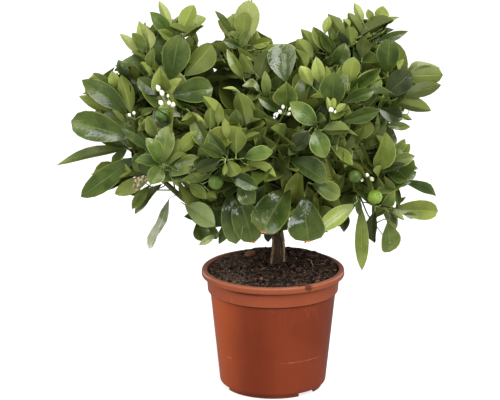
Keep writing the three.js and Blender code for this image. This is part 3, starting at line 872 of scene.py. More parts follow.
# %% One skin of bark
BARK_VOXEL, SAMPLES_TRIED = 1.25, 24
SQUEEZE = 0.22  # how much shorter the noise runs along a limb than across it
RIBS, RIB_DEPTH, TRUNK_SAMPLES, THICK_WOOD = 3, 0.045, 40, 5.9
SPLIT_TOP = 208
SPLITS = [(62, 13, 0.9), (-58, 12, 0.5), (190, 20, 0.6)]  # degrees from the front, width, strength

select_only(limb_pieces[0])
for piece in limb_pieces[1:]:
    piece.select_set(True)
bpy.ops.object.join()
wood = bpy.context.object
wood.name = "trunk_and_boughs"
apply_modifier(wood, "REMESH", mode="VOXEL", voxel_size=BARK_VOXEL * MM)
apply_modifier(wood, "SMOOTH", factor=0.5, iterations=4)
nearest = KDTree(len(limb_places))
for i, place in enumerate(limb_places):
    nearest.insert(place * MM, i)
nearest.balance()
places, normals = places_of(wood.data), vectors_of(wood.data.vertices, "normal")
limb_spot, limb_size = np.empty_like(places), np.empty(len(places))
for i, point in enumerate(places):
    samples = nearest.find_n(point, SAMPLES_TRIED)
    centre, at, _ = min(samples, key=lambda sample: sample[2] / MM - limb_radii[sample[1]])
    offset, way, radius = Vector(point) - centre, limb_ways[at], limb_radii[at]
    along = offset.dot(way)
    across = (offset - way * along) / MM
    stretched = across + way * ((limb_along[at] + along / MM) * SQUEEZE)
    ridge = 1 - abs(noise.noise(stretched * 0.42)) * 2
    fine = noise.fractal(stretched * 1.1, 0.8, 2.2, 2)
    lift = (ridge * 0.045 + fine * 0.05) * radius
    if at < TRUNK_SAMPLES and radius > THICK_WOOD:
        ribs = cos(RIBS * atan2(across.y, across.x) + along * 12 + point[2] * 18)
        lift += RIB_DEPTH * radius * ribs
    places[i] = point + normals[i] * lift * MM
    limb_spot[i], limb_size[i] = stretched, radius
set_places(wood.data, places)
turn = np.degrees(np.arctan2(places[:, 0] / MM - 6.5, 6 - places[:, 1] / MM))
low = np.clip((SPLIT_TOP - places[:, 2] / MM) / 10, 0, 1)
mark(wood, "bark_split", sum(share * np.exp(-((turn - at) / wide) ** 2) for at, wide, share in SPLITS) * low)
mark(wood, "limb_spot", limb_spot)
mark(wood, "limb_size", limb_size)
print("bark skin:", len(places), "points")

# %% [markdown]
# ### Bark
# Young bark of a citrus is green-brown, older bark is a grey brown with long tan streaks where its skin
# has split. The limb's thickness chooses between the two.

# %% Bark material


def bark_material(name):
    """Bark that reads its place on the limb and the limb's thickness from the mesh."""
    material, shader = new_material(name)
    tree = shader.id_data
    where = source(tree, "Attribute", "Vector", attribute_name="limb_spot")
    size = source(tree, "Attribute", "Fac", attribute_name="limb_size")
    split = source(tree, "Attribute", "Fac", attribute_name="bark_split")
    fine = add("TexNoise", {"Vector": where, "Scale": 0.75, "Detail": 4.0, "Roughness": 0.6}).outputs["Fac"]
    broad = add("TexNoise", {"Vector": where, "Scale": 0.16, "Detail": 3.0}).outputs["Fac"]
    grain = ramp(fine, 0.36, 0.66)
    young = mixed(ramp(size, 0.9, 1.7), mixed(grain, "34451a", "4e612a"), mixed(grain, "454a26", "75703f"))
    base = mixed(ramp(size, 2.2, 5.4), young, mixed(grain, "1f1712", "443629"))
    base = mixed(ramp(broad, 0.62, 0.7, 0, 0.45), base, "7c684a")
    base = mixed(ramp(broad, 0.44, 0.32, 0, 0.5), base, "20170e")
    base = mixed(times(split, ramp(fine, 0.34, 0.56)), base, "b3955f")
    wear(shader, base, ramp(fine, 0.3, 0.7, 0.62, 0.85), 0.15)
    relief(shader, fine, 0.5)
    return material


wood.data.materials.append(bark_material("bark"))
finish_piece(wood, list(LIMBS), smooth_deg=80)

# %% [markdown]
# ## Leaves
# A citrus leaf is a leathery ellipse with a blunt tip, folded a little along its midrib and bent along its
# length. One flat grid is drawn for it and given an underside, so that each leaf is a closed thin shell
# whose two sides can have their own colours. The grid is coarse, because it is copied more than a thousand
# times. Its bends are worked out per leaf with arrays.

# %% The leaf's grid
LEAF_ROWS = np.array([0, 0.05, 0.14, 0.27, 0.41, 0.55, 0.69, 0.82, 0.93, 1.0])
LEAF_COLUMNS = np.array([-1, -0.52, 0, 0.52, 1])
LEAF_THICKNESS, FOOT_POWER = 0.36, 0.92  # less power makes the foot of a leaf blunter
UPPER, UNDER, STALK = 0, 1, 2


def leaf_grid():
    """Row and column values of the shell's points, its quads, and each quad's side."""
    rows, columns = len(LEAF_ROWS), len(LEAF_COLUMNS)
    upper = np.arange(rows * columns).reshape(rows, columns)
    under, spots = upper.copy(), [(r, c, 1) for r in range(rows) for c in range(columns)]
    for r in range(1, rows - 1):
        for c in range(1, columns - 1):
            under[r, c] = len(spots)
            spots.append((r, c, -1))
    quads = []
    for r in range(rows - 1):
        for c in range(columns - 1):
            quads.append((upper[r, c], upper[r + 1, c], upper[r + 1, c + 1], upper[r, c + 1]))
            quads.append((under[r, c], under[r, c + 1], under[r + 1, c + 1], under[r + 1, c]))
    r, c, side = np.array(spots).T
    rim = (r == 0) | (r == rows - 1) | (c == 0) | (c == columns - 1)
    lift = side * np.where(rim, 0, 0.5)
    return LEAF_ROWS[r], LEAF_COLUMNS[c], lift, np.array(quads), np.tile((UPPER, UNDER), len(quads) // 2)


grid_s, grid_v, grid_lift, grid_quads, grid_sides = leaf_grid()


def half_width(s, point):
    """Outline of the blade: 0 at both ends, 1 at its widest. More point makes a sharper tip."""
    widest = FOOT_POWER / (FOOT_POWER + point)
    return (np.power(s, FOOT_POWER) * np.power(1 - s, point)
            / (widest ** FOOT_POWER * (1 - widest) ** point))


Blade = namedtuple("Blade", "base tip facing width tone fold curl wave twist cup phase point")
print("leaf:", len(grid_s), "points,", len(grid_quads), "quads")

# %% [markdown]
# `blade_points` bends the grid into one leaf. Its two ends stay where they are asked for, and the middle
# is lifted for the curl. The two halves rise to either side of the midrib for the fold, the blade twists a
# little from base to tip, and its edge waves.

# %% Bending a leaf
NARROWEST, WAVES = 0.45, 9.5


def blade_points(blade, s, v, lift=0.0):
    """Points of one leaf in metres, at shares s of its length and v of its half width."""
    base, tip = np.array(blade.base), np.array(blade.tip)
    length = norm(tip - base)
    along = (tip - base) / length
    facing = np.array(blade.facing, float)
    facing = facing - along * facing.dot(along)
    facing /= max(norm(facing), 1e-6)
    side = np.cross(facing, along)
    half = np.maximum(half_width(s, blade.point) * blade.width / 2, NARROWEST * MM)
    out = v * half
    rise = np.abs(out) * sin(blade.fold) + blade.cup * out * out / blade.width
    rise = rise + blade.wave * half * np.abs(v) * np.sin(s * WAVES + blade.phase + np.sign(v) * 0.8)
    bow = blade.curl * length * np.sin(pi * s ** 0.85)
    turn = blade.twist * (s - 0.4)
    across = out * cos(0.6 * blade.fold)
    x, y = across * np.cos(turn) - rise * np.sin(turn), across * np.sin(turn) + rise * np.cos(turn)
    y = y + bow + lift * LEAF_THICKNESS * MM
    return base + np.outer(s * length, along) + np.outer(x, side) + np.outer(y, facing)


def sampling(rows, columns, edge, reach):
    """Shares of length and width at which the area of a leaf is sampled."""
    grid = np.meshgrid(np.linspace(edge, 1 - edge, rows), np.linspace(-reach, reach, columns))
    return [values.ravel() for values in grid]


OUTLINE, DENSE = sampling(12, 5, 0.03, 0.9), sampling(70, 41, 0.0, 1.0)
print("outline samples per leaf:", len(OUTLINE[0]))

# %% [markdown]
# ### Colours of the leaves
# The markings are the same on every leaf: a pale midrib, fine side veins that leave it at a slant, a thin
# pale edge and a slight mottle. They sit in one node group. Each tone then only names the colours of its
# two sides and how glossy it is. Old leaves are nearly black, this year's are lime green, and undersides
# are paler and matt.

# %% Leaf markings
VEINS_ALONG, VEIN_SLANT = 11.0, 2.6

markings = bpy.data.node_groups.new("leaf_markings", "ShaderNodeTree")
for in_out, kind, names in [("INPUT", "Color", ["Blade", "Vein"]), ("OUTPUT", "Color", ["Color"]),
                            ("INPUT", "Float", ["Vein share", "Edge share", "Burn", "Burnt tip"]),
                            ("OUTPUT", "Float", ["Height"])]:
    for name in names:
        markings.interface.new_socket(name, in_out=in_out, socket_type="NodeSocket" + kind)
given = markings.nodes.new("NodeGroupInput").outputs
split = add("SeparateXYZ", {0: source(markings, "UVMap", 0, uv_map="leaf")}).outputs
along = split[0]
off_middle = maths("ABSOLUTE", maths("MULTIPLY_ADD", split[1], 2.0, -1.0))
midrib = ramp(off_middle, 0.075, 0.015)
slant = maths("SUBTRACT", times(along, VEINS_ALONG), times(off_middle, VEIN_SLANT))
wave = gap_between(maths("FRACT", slant), 0.5)
edge = ramp(off_middle, 0.90, 0.985)
where = source(markings, "TexCoord", "Object")
cloud, speck = mottle(where, 22, 3), mottle(where, 3, 2)
base = mixed(ramp(cloud, 0.35, 0.65, 0, 0.22), given["Blade"], given["Vein"])
base = mixed(ramp(speck, 0.4, 0.8, 0, 0.12), base, (0.02, 0.03, 0.008, 1))
base = mixed(times(ramp(wave, 0.10, 0.02), times(given["Vein share"], 0.22)), base, given["Vein"])
base = mixed(times(midrib, given["Vein share"]), base, given["Vein"])
base = mixed(times(edge, given["Edge share"]), base, given["Vein"])
# Painted shade towards the foot of each blade and painted light towards its tip.
base = mixed(ramp(along, 0.5, 0.0, 0, 0.42), base, (0.014, 0.024, 0.005, 1))
base = mixed(ramp(along, 0.55, 1.0, 0, 0.2), base, given["Vein"])
straw = mixed(ramp(speck, 0.42, 0.6), "5e4a2c", "a09a72")
blotch = times(ramp(mottle(where, 13, 3), 0.40, 0.54), ramp(along, 0.66, 0.48))
base = mixed(times(blotch, given["Burn"]), base, straw)
spotty = times(ramp(speck, 0.42, 0.55), given["Burnt tip"])
base = mixed(times(ramp(along, 0.955, 0.985), spotty), base, "a65a26")
pucker = maths("ADD", times(wave, 0.13), times(cloud, 2.2))
plug(markings.nodes.new("NodeGroupOutput"), {
    "Color": base, "Height": maths("SUBTRACT", pucker, times(midrib, 0.6))})
print("markings group:", len(markings.nodes), "nodes")

# %% Tones
Tone = namedtuple("Tone", "upper upper_vein under under_vein gloss veins edge")
TONES = {
    "old": Tone("1b230f", "495226", "39421b", "5a612c", 0.30, 0.4, 0.45),
    "dark": Tone("263512", "65712f", "47521f", "6c7434", 0.27, 0.6, 0.75),
    "shiny": Tone("263616", "6d7641", "535d28", "747a3c", 0.18, 0.6, 0.65),
    "mid": Tone("3e4d1d", "828846", "576126", "757c41", 0.30, 0.6, 0.85),
    "fresh": Tone("515f22", "949954", "68742e", "889150", 0.31, 0.55, 0.7),
    "lime": Tone("717e37", "9b9f67", "818b41", "9fa568", 0.34, 0.5, 0.5),
    "olive": Tone("4e5a1d", "8f9144", "5c6829", "7c8347", 0.33, 0.6, 0.7),
    "pale": Tone("5d6b31", "9a9e5c", "7d854a", "989e66", 0.42, 0.6, 0.5),
    "grey": Tone("707e4a", "97a16e", "82875a", "9a9d74", 0.40, 0.7, 0.3),
    "scorched": Tone("44531b", "88893f", "757c3a", "a2a054", 0.38, 0.5, 0.4),
    "tipped": Tone("243213", "667133", "4d5726", "747a3c", 0.20, 0.5, 0.6),
    "bright": Tone("2d4311", "838f48", "6a7536", "8b9257", 0.30, 0.5, 0.9),
    # The next tone is a greyish leaf whose near-white vein colour spreads over it as a painted sheen,
    # standing in for glossy reflections.
    "silver": Tone("59643c", "dbd7c9", "697046", "a5a580", 0.20, 0.9, 0.6),
}
SIDES = [("upper", 0.34, 0.6, 0.8), ("under", 0.18, 1.2, 0.5)]  # specular, share of veins, relief
MATT, POLISH = 0.5, 0.02
leaf_materials = []
for name, tone in TONES.items():
    for side, specular, veins, bumps in SIDES:
        material, shader = new_material("leaf_%s_%s" % (name, side))
        marks = shader.id_data.nodes.new("ShaderNodeGroup")
        marks.node_tree = markings
        plug(marks, {"Blade": getattr(tone, side), "Vein": getattr(tone, side + "_vein"),
                     "Vein share": tone.veins * veins, "Edge share": tone.edge,
                     "Burn": float(name == "scorched"), "Burnt tip": float(name == "tipped")})
        wear(shader, marks.outputs["Color"], tone.gloss - POLISH if side == "upper" else MATT, specular)
        relief(shader, marks.outputs["Height"], bumps)
        leaf_materials.append(material)
tone_slots = {name: 2 * i for i, name in enumerate([*TONES, "stalk"])}
material, shader = new_material("leaf_stalk")
wear(shader, mixed(ramp(mottle(place_on(shader), 3, 2), 0.35, 0.65), "66763a", "8c9a52"), 0.5)
leaf_materials.append(material)
print(len(leaf_materials), "leaf materials")

# %% [markdown]
# ### Leaves placed one by one
# The leaves that give the front of this tree its character are placed one by one, in sprays. A spray names
# the mass of foliage that it belongs to and the end of the twig that carries it. The first three numbers
# of a leaf are the column, row and depth of its tip in the front view, and the next three those of the
# foot of its blade. Then come its real width in millimetres, which way its upper side looks and its tone.
# A leaf that names no way looks to the front. The numbers that follow on some are the leaf's own fold,
# curl, wave, point and twist.

# %% Sprays of the front
LOOKS = {
    "front": (0, -1, 0.35), "back": (0, 1, 0.15), "up": (0, -0.35, 1), "raised": (0, -1, 1.2),
    "right": (1, -0.6, 0.4), "mirror": (-0.28, -0.93, 0.5),
}
SPRAYS = [  # mass, column, row and depth of the twig's end, then its leaves
    ("left_crest", (176, 42, -8), [
    (194, 5, -2, 181, 33, -10, 24, "back fresh"), (159, 1, 4, 171, 28, -4, 14, "back pale"),
    (150, 12, -18, 172, 36, -10, 21, "bright"), (206, 18, -2, 188, 28, -6, 26, "up pale"),
    (204, 26, -14, 194, 36, -10, 20, "up mid"), (169, 26, -22, 188, 33, -14, 14, "back dark"),
    (158, 30, -26, 174, 40, -16, 13, "fresh"), (197, 27, -20, 182, 38, -18, 14, "back dark"),
    (206, 42, -6, 222, 59, -12, 12, "up old"), (190, 36, -24, 186, 52, -24, 13, "back old")]),
    ("left_crest", (150, 60, -16), [
    (139, 21, -10, 148, 52, -14, 21, "lime"), (146, 28, -22, 150, 50, -22, 16, "back pale"),
    (120, 34, -6, 146, 58, -12, 14, "back pale"), (132, 33, -24, 146, 52, -20, 17, "mid"),
    (131, 52, -30, 146, 64, -24, 18, "up mid"), (154, 48, -36, 152, 68, -32, 17, "mirror mid"),
    (118, 60, 2, 126, 78, -6, 16, "dark"), (120, 63, -30, 146, 78, -30, 28, "raised dark"),
    (141, 62, -40, 150, 76, -36, 12, "back fresh")]),
    ("left_crest", (172, 92, -48), [
    (178, 35, -44, 170, 80, -50, 39, "dark", 0.2, 0.05, 0.03, 0.6, 0.1),
    (212, 45, -32, 184, 76, -42, 34, "back dark", 0.15, 0.04, 0.05, 0.5, 0.1),
    (160, 67, -74, 163, 91, -60, 29, "fresh"),
    (213, 88, -58, 172, 96, -60, 34, "mirror dark", 0.2, 0.05, 0.06, 0.5, 0.1),
    (204, 105, -46, 172, 98, -54, 22, "dark"), (182, 79, -72, 171, 96, -62, 18, "back lime")]),
    ("left_wing", (127, 118, -26), [
    (82, 80, -10, 127, 113, -24, 29, "dark"), (93, 73, 6, 115, 92, -4, 16, "mid"),
    (112, 71, -14, 117, 87, -10, 16, "lime"), (121, 75, -24, 131, 113, -30, 21, "back olive"),
    (79, 96, -10, 115, 113, -18, 19, "back fresh"),
    (71, 121, -34, 131, 137, -42, 39, "dark", 0.1, 0.04, 0.05, 0.5, 0.1),
    (112, 110, -40, 124, 124, -38, 11, "back dark"), (129, 76, -6, 134, 98, -12, 13, "old"),
    (138, 78, -40, 160, 95, -50, 21, "dark"), (154, 108, -60, 141, 116, -50, 10, "mid")]),
    ("left_low", (133, 158, -26), [
    (57, 165, -6, 128, 149, -26, 20, "raised mid", 0.3, 0.05, 0.03, 0.95, 0.1),
    (112, 163, -20, 127, 150, -22, 13, "mid"),
    (81, 197, -30, 135, 157, -34, 29, "dark", 0.1, 0.05, 0.03, 0.7, 0.0),
    (136, 172, -34, 146, 150, -32, 20, "mid"), (98, 138, -22, 128, 147, -26, 15, "dark")]),
    ("left_low", (152, 184, -32), [
    (115, 194, -34, 151, 176, -38, 20, "scorched", 0.2, 0.06, 0.12, 0.7, 0.2),
    (132, 209, -26, 150, 185, -34, 15, "mid"), (135, 214, -20, 162, 184, -30, 17, "mid")]),
    ("left_drop", (176, 195, -18), [
    (149, 249, -12, 169, 199, -24, 17, "mirror silver", 0.4, -0.06, 0.5, 0.55, 0.7)]),
    ("front_left", (164, 168, -94), [
    (146, 138, -100, 162, 164, -96, 22, "bright"),
    (168, 126, -88, 163, 163, -100, 27, "mirror mid", 0.2, 0.05, 0.1, 0.7, 0.1),
    (179, 138, -94, 165, 163, -94, 12, "mid"), (199, 131, -90, 176, 155, -94, 21, "back fresh"),
    (135, 161, -102, 160, 166, -98, 20, "raised bright"), (150, 184, -114, 161, 167, -100, 23, "mid"),
    (187, 154, -108, 168, 166, -100, 12, "back dark"),
    (199, 158, -98, 170, 176, -96, 24, "mirror mid", 0.2, 0.05, 0.14, 0.6, 0.2),
    (147, 116, -94, 157, 137, -92, 17, "mid"), (121, 128, -56, 150, 150, -80, 12, "dark"),
    (155, 107, -82, 170, 126, -84, 24, "old"), (212, 175, -112, 180, 181, -104, 13, "fresh"),
    (216, 198, -128, 208, 190, -124, 8, "back dark"), (206, 199, -120, 190, 184, -112, 16, "mid")]),
    ("front_middle", (227, 160, -146), [
    (199, 146, -158, 222, 157, -152, 18, "dark"), (208, 131, -150, 226, 155, -150, 16, "shiny"),
    (236, 129, -154, 236, 154, -158, 27, "back dark"), (225, 119, -138, 228, 140, -142, 11, "back olive"),
    (260, 133, -140, 242, 140, -144, 11, "back dark"), (273, 152, -150, 244, 158, -154, 21, "bright"),
    (237, 175, -178, 228, 160, -162, 21, "back dark"), (276, 177, -140, 248, 165, -148, 16, "back fresh"),
    (258, 188, -166, 232, 175, -160, 20, "dark"), (255, 203, -158, 238, 186, -154, 26, "mirror shiny"),
    (196, 170, -156, 220, 160, -154, 18, "old"), (224, 175, -174, 225, 163, -164, 8, "back mid")]),
    ("under_left", (192, 210, -66), [
    (215, 226, -80, 185, 205, -72, 30, "grey"), (204, 241, -66, 197, 222, -62, 24, "dark"),
    (217, 239, -60, 206, 222, -58, 17, "mid"), (199, 245, -72, 216, 235, -72, 10, "grey"),
    (179, 185, -56, 189, 204, -60, 11, "mid")]),
    ("under_left", (234, 198, -74), [
    (236, 244, -104, 230, 190, -80, 29, "mirror shiny", 0.3, 0.1, 0.22, 0.5, 0.1),
    (254, 243, -108, 239, 190, -84, 38, "mirror tipped", 0.25, 0.12, 0.2, 0.5, -0.1),
    (219, 244, -76, 224, 221, -76, 16, "dark")]),
    ("under_right", (302, 190, -84), [
    (262, 233, -119, 290, 188, -90, 50, "mirror tipped", 0.25, 0.09, 0.14, 0.42, 0.1),
    (309, 242, -112, 305, 197, -96, 49, "mirror tipped", 0.3, 0.1, 0.2, 0.42, -0.1),
    (326, 182, -114, 288, 159, -108, 31, "raised shiny", 0.3, 0.08, 0.08, 0.6, 0.1),
    (340, 196, -96, 312, 184, -100, 24, "mirror mid", 0.2, 0.05, 0.1, 0.6, 0.1),
    (268, 242, -20, 268, 228, -24, 11, "old")]),
    ("right_drop", (360, 206, -60), [
    (317, 232, -100, 354, 204, -72, 23, "lime", 0.12, 0.04, 0.04, 0.8, 0.0),
    (344, 232, -76, 346, 213, -70, 15, "old"),
    (362, 270, -44, 361, 206, -56, 19, "fresh", 0.2, 0.04, 0.06, 0.8, 0.1),
    (360, 216, -68, 356, 196, -68, 10, "dark"), (375, 243, -46, 375, 211, -52, 21, "old"),
    (390, 252, -36, 387, 223, -44, 32, "mid", 0.15, 0.04, 0.05, 0.55, 0.0)]),
    ("right_low", (384, 208, -48), [
    (438, 211, -8, 392, 209, -26, 27, "olive", 0.2, 0.04, 0.05, 0.55, 0.1),
    (417, 216, -24, 404, 214, -28, 10, "mid"), (404, 220, -40, 391, 212, -38, 8, "back olive"),
    (406, 197, -44, 396, 209, -44, 9, "up dark"), (396, 224, -48, 389, 212, -46, 8, "old"),
    (395, 190, -62, 381, 205, -56, 17, "mid")]),
    ("right_low", (378, 176, -52), [
    (436, 196, -6, 402, 181, -20, 17, "shiny"), (386, 132, -66, 377, 171, -60, 32, "fresh"),
    (410, 144, -38, 397, 160, -44, 14, "fresh"), (405, 139, -42, 392, 158, -48, 14, "mid"),
    (415, 156, -50, 392, 162, -52, 18, "mid"), (405, 164, -60, 376, 171, -60, 12, "old"),
    (414, 160, -34, 396, 180, -40, 22, "dark"), (399, 206, -50, 397, 184, -46, 10, "dark"),
    (406, 180, -52, 385, 172, -56, 16, "dark"), (350, 138, -68, 367, 172, -64, 13, "back lime")]),
    ("front_right", (318, 130, -114), [
    (290, 102, -112, 317, 125, -118, 25, "bright", 0.2), (325, 158, -136, 315, 130, -124, 27, "bright"),
    (293, 151, -124, 309, 131, -122, 23, "old"), (353, 165, -96, 331, 146, -104, 16, "fresh"),
    (350, 130, -122, 322, 130, -122, 21, "back dark"), (358, 136, -112, 324, 131, -118, 11, "mid")]),
    ("front_right", (336, 108, -100), [
    (380, 110, -92, 341, 121, -108, 21, "dark"),
    (334, 72, -104, 333, 106, -104, 34, "dark", 0.2, 0.05, 0.04, 0.75, 0.0),
    (327, 97, -116, 330, 112, -112, 8, "back lime"), (334, 98, -118, 332, 112, -112, 8, "back lime"),
    (346, 104, -116, 334, 113, -112, 9, "back lime"), (374, 90, -78, 343, 103, -96, 19, "dark"),
    (396, 95, -56, 357, 99, -82, 20, "up dark")]),
    ("right_crest", (350, 42, -10), [
    (328, 14, -4, 345, 38, -10, 16, "back dark"), (329, 16, -14, 325, 34, -14, 13, "back lime"),
    (343, 19, -2, 350, 27, -6, 9, "back fresh"), (348, 26, -16, 352, 47, -18, 20, "back mid"),
    (364, 38, -40, 362, 58, -38, 21, "back old"), (338, 32, -34, 345, 52, -32, 18, "old"),
    (345, 43, -48, 338, 65, -46, 24, "dark")]),
    ("right_crest", (370, 36, -6), [
    (348, 13, 0, 362, 36, -6, 15, "back dark"), (354, 3, 4, 363, 22, -2, 13, "back pale"),
    (366, 26, -10, 374, 40, -10, 12, "back mid"), (368, 9, -8, 372, 20, -6, 11, "fresh"),
    (383, 6, 2, 379, 22, -4, 20, "back fresh"), (399, 17, -2, 385, 30, -8, 18, "up fresh"),
    (393, 20, -14, 361, 36, -14, 24, "back old"), (408, 31, -8, 377, 42, -12, 13, "dark")]),
    ("right_crest", (326, 58, -22), [
    (320, 33, -24, 334, 54, -26, 16, "dark"), (313, 27, -20, 333, 55, -22, 20, "mid"),
    (301, 29, -14, 318, 52, -18, 18, "back mid"), (297, 39, -24, 312, 60, -26, 21, "back olive")]),
    ("right_crest", (318, 92, -62), [
    (316, 57, -62, 322, 84, -62, 18, "lime"), (300, 66, -56, 312, 86, -60, 18, "back lime"),
    (326, 66, -60, 323, 90, -64, 15, "back fresh")]),
    ("right_crest", (366, 84, -46), [
    (390, 39, -44, 388, 72, -42, 31, "mirror dark", 0.2, 0.08, 0.08, 0.6, 0.1),
    (354, 57, -64, 349, 84, -60, 24, "back fresh"), (381, 68, -68, 350, 92, -64, 18, "dark"),
    (411, 72, -30, 384, 96, -40, 32, "right old", 0.1, 0.03, 0.05, 0.6, 0.0)]),
    ("right_wing", (400, 98, -16), [
    (443, 75, -6, 404, 76, -16, 28, "back dark", 0.15, 0.03, 0.02, 0.6, 0.1),
    (441, 85, -10, 403, 95, -20, 20, "back old", 0.3, 0.03, 0.05, 0.8, 0.1),
    (431, 111, -10, 396, 102, -20, 22, "back dark", 0.4, 0.03, 0.05, 0.8, 0.2),
    (404, 59, -26, 399, 71, -28, 9, "back lime"), (410, 127, -36, 385, 125, -44, 12, "mid"),
    (412, 120, -28, 400, 116, -34, 9, "back dark"), (378, 108, -60, 402, 118, -50, 22, "old")]),
    ("middle_crest", (244, 50, 6), [
    (249, 0, 14, 246, 44, 12, 33, "back pale", 0.1, 0.03, 0.02, 0.66, 0.0),
    (245, 12, 4, 243, 38, 6, 26, "back olive", 0.2, 0.03, 0.02, 0.66, 0.0),
    (215, 11, 12, 234, 34, 8, 14, "dark"), (218, 20, 6, 230, 38, 6, 11, "back lime"),
    (228, 33, -2, 242, 40, 0, 11, "mid"), (223, 40, -6, 240, 47, -4, 12, "dark"),
    (250, 28, -4, 240, 48, -4, 14, "mid"), (271, 41, 6, 250, 45, 2, 14, "olive"),
    (275, 48, 0, 252, 50, -2, 14, "fresh")]),
    ("middle_crest", (256, 84, -36), [
    (227, 49, -30, 243, 78, -34, 14, "mirror fresh"), (241, 53, -34, 256, 74, -38, 19, "back dark"),
    (267, 50, -38, 257, 80, -40, 24, "back old"), (265, 71, -56, 266, 98, -58, 13, "mid"),
    (242, 86, -60, 260, 92, -56, 22, "raised mid")]),
    ("middle_crest", (289, 90, -46), [
    (281, 44, -26, 286, 82, -50, 38, "mirror shiny", 0.12, 0.03, 0.1, 0.5, 0.1),
    (283, 44, -30, 298, 55, -34, 13, "back fresh"), (295, 49, -40, 305, 70, -42, 19, "back olive")]),
    ("front_middle", (284, 114, -90), [
    (287, 82, -94, 287, 107, -92, 36, "mid", 0.75), (258, 97, -90, 281, 112, -92, 14, "dark")]),
    ("front_middle", (236, 134, -104), [
    (238, 92, -98, 247, 128, -104, 29, "back dark"), (236, 109, -110, 236, 132, -112, 19, "dark"),
    (211, 107, -96, 210, 129, -104, 19, "back dark"), (219, 103, -100, 218, 125, -106, 13, "back mid"),
    (208, 129, -92, 190, 112, -84, 8, "back lime"), (223, 88, -90, 243, 99, -92, 13, "up lime"),
    (203, 96, -84, 219, 118, -90, 18, "back fresh")]),
]
print(len(SPRAYS), "sprays,", sum(len(leaves) for mass, end, leaves in SPRAYS), "placed leaves")

# %% [markdown]
# ## The masses of the plain model
# The plain model fills the crown with twenty masses. A leaf of chance has to stay inside one of them, give
# or take a few millimetres, so that the crown keeps the model's outline from every side. One more zone, in
# the hollow between the front and the heart of the crown, is filled with leaves as well.

# %% Masses
MASSES = sorted(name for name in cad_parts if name.startswith("foliage_"))
NEAR_BOX, OUTSIDE = 0.03, -1.0
HOLLOW_MIDDLE, HOLLOW_REACH = np.array((8, -46, 338)) * MM, np.array((72, 46, 56)) * MM

mass_trees, mass_meshes, mass_boxes = {}, {}, {}
for name in MASSES:
    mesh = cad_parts[name].data
    points, faces = places_of(mesh), [tuple(face.vertices) for face in mesh.polygons]
    mass_trees[name] = BVHTree.FromPolygons(points.tolist(), faces)
    mass_meshes[name] = (points, faces)
    mass_boxes[name] = (points.min(0), points.max(0))


def depth_in(name, point):
    """How deep a point lies under the surface of a mass. Less than nothing means outside."""
    low, high = mass_boxes[name]
    if (point < low - NEAR_BOX).any() or (point > high + NEAR_BOX).any():
        return OUTSIDE
    place, normal, _, distance = mass_trees[name].find_nearest(Vector(point))
    return copysign(distance, (place - Vector(point)).dot(normal))


def depth_in_crown(point):
    hollow = (1 - norm((point - HOLLOW_MIDDLE) / HOLLOW_REACH)) * HOLLOW_REACH.min()
    return max(hollow, max(depth_in(name, point) for name in MASSES))


def surface_points(name, tries, dice):
    """Points and outward ways over a mass, dealt by area."""
    points, faces = mass_meshes[name]
    corners = np.array([[points[i] for i in (face[0], face[k], face[k + 1])]
                        for face in faces for k in range(1, len(face) - 1)])
    crosses = np.cross(corners[:, 1] - corners[:, 0], corners[:, 2] - corners[:, 0])
    sizes = norm(crosses, axis=1)
    picked = dice.choices(range(len(corners)), sizes.tolist(), k=tries)
    shares = np.sort(np.array([(dice.random(), dice.random()) for _ in picked]), axis=1)
    a, b, c = corners[picked, 0], corners[picked, 1], corners[picked, 2]
    first, second = shares[:, :1], shares[:, 1:]
    return a * first + b * (second - first) + c * (1 - second), crosses[picked] / sizes[picked][:, None]


def points_inside(name, tries, most, least_depth, dice):
    """Up to so many random points that lie deep enough in a mass, one after another."""
    got = 0
    for _ in range(tries):
        place = np.array([dice.uniform(low, high) for low, high in zip(*mass_boxes[name])])
        if got < most and depth_in(name, place) > least_depth:
            got += 1
            yield place


def short(name):
    return name[len("foliage_"):]


print(len(MASSES), "masses of the plain model")

# %% [markdown]
# ## Growth
# Twigs are grown from the outside in. The end of each spray is joined to the nearest wood behind it by a
# curved twig, and that twig counts as wood from then on. This one rule gives a branching plant in which no
# leaf hangs in the air. How many leaves a twig carries decides how thick it is.

# %% Wood that can be grown on
GROW_STEP, STRAY = 6 * MM, 6 * MM
MOST_NODES, BURIED_SAMPLES = 60000, 20
node_place, node_way = np.zeros((MOST_NODES, 3)), np.zeros((MOST_NODES, 3))
node_parent, node_load = np.full(MOST_NODES, -1), np.zeros(MOST_NODES)
node_mass = []


def unit(vector):
    return np.array(vector) / max(norm(vector), 1e-9)


def add_node(place, way, parent, mass):
    index = len(node_mass)
    node_place[index], node_way[index], node_parent[index] = place, way, parent
    node_mass.append(mass)
    return index


for i, place in enumerate(limb_places):
    if i >= BURIED_SAMPLES and limb_along[i] < 50 * len(LIMBS):
        add_node(np.array(place * MM), limb_ways[i], -1, "")
LIMB_NODES = len(node_mass)


def best_node(place, way, least=0.0):
    """The node from which a twig would reach this place most naturally."""
    count = len(node_mass)
    reach = np.array(place) - node_place[:count]
    distance = norm(reach, axis=1) + 1e-9
    facing = (reach @ np.array(way)) / distance
    onward = np.einsum("ij,ij->i", reach, node_way[:count]) / distance
    in_front = np.maximum(0, reach[:, 1])
    cost = distance * (1.75 - 0.55 * facing - 0.3 * onward) + in_front + np.where(distance < least, 1.0, 0.0)
    return int(np.argmin(cost))


def hermite(start, start_way, end, end_way, steps):
    """Points of a smooth curve between two places, without the first."""
    t = np.linspace(0, 1, steps + 1)[1:, None]
    return ((2 * t ** 3 - 3 * t ** 2 + 1) * start + (t ** 3 - 2 * t ** 2 + t) * start_way
            + (3 * t ** 2 - 2 * t ** 3) * end + (t ** 3 - t ** 2) * end_way)


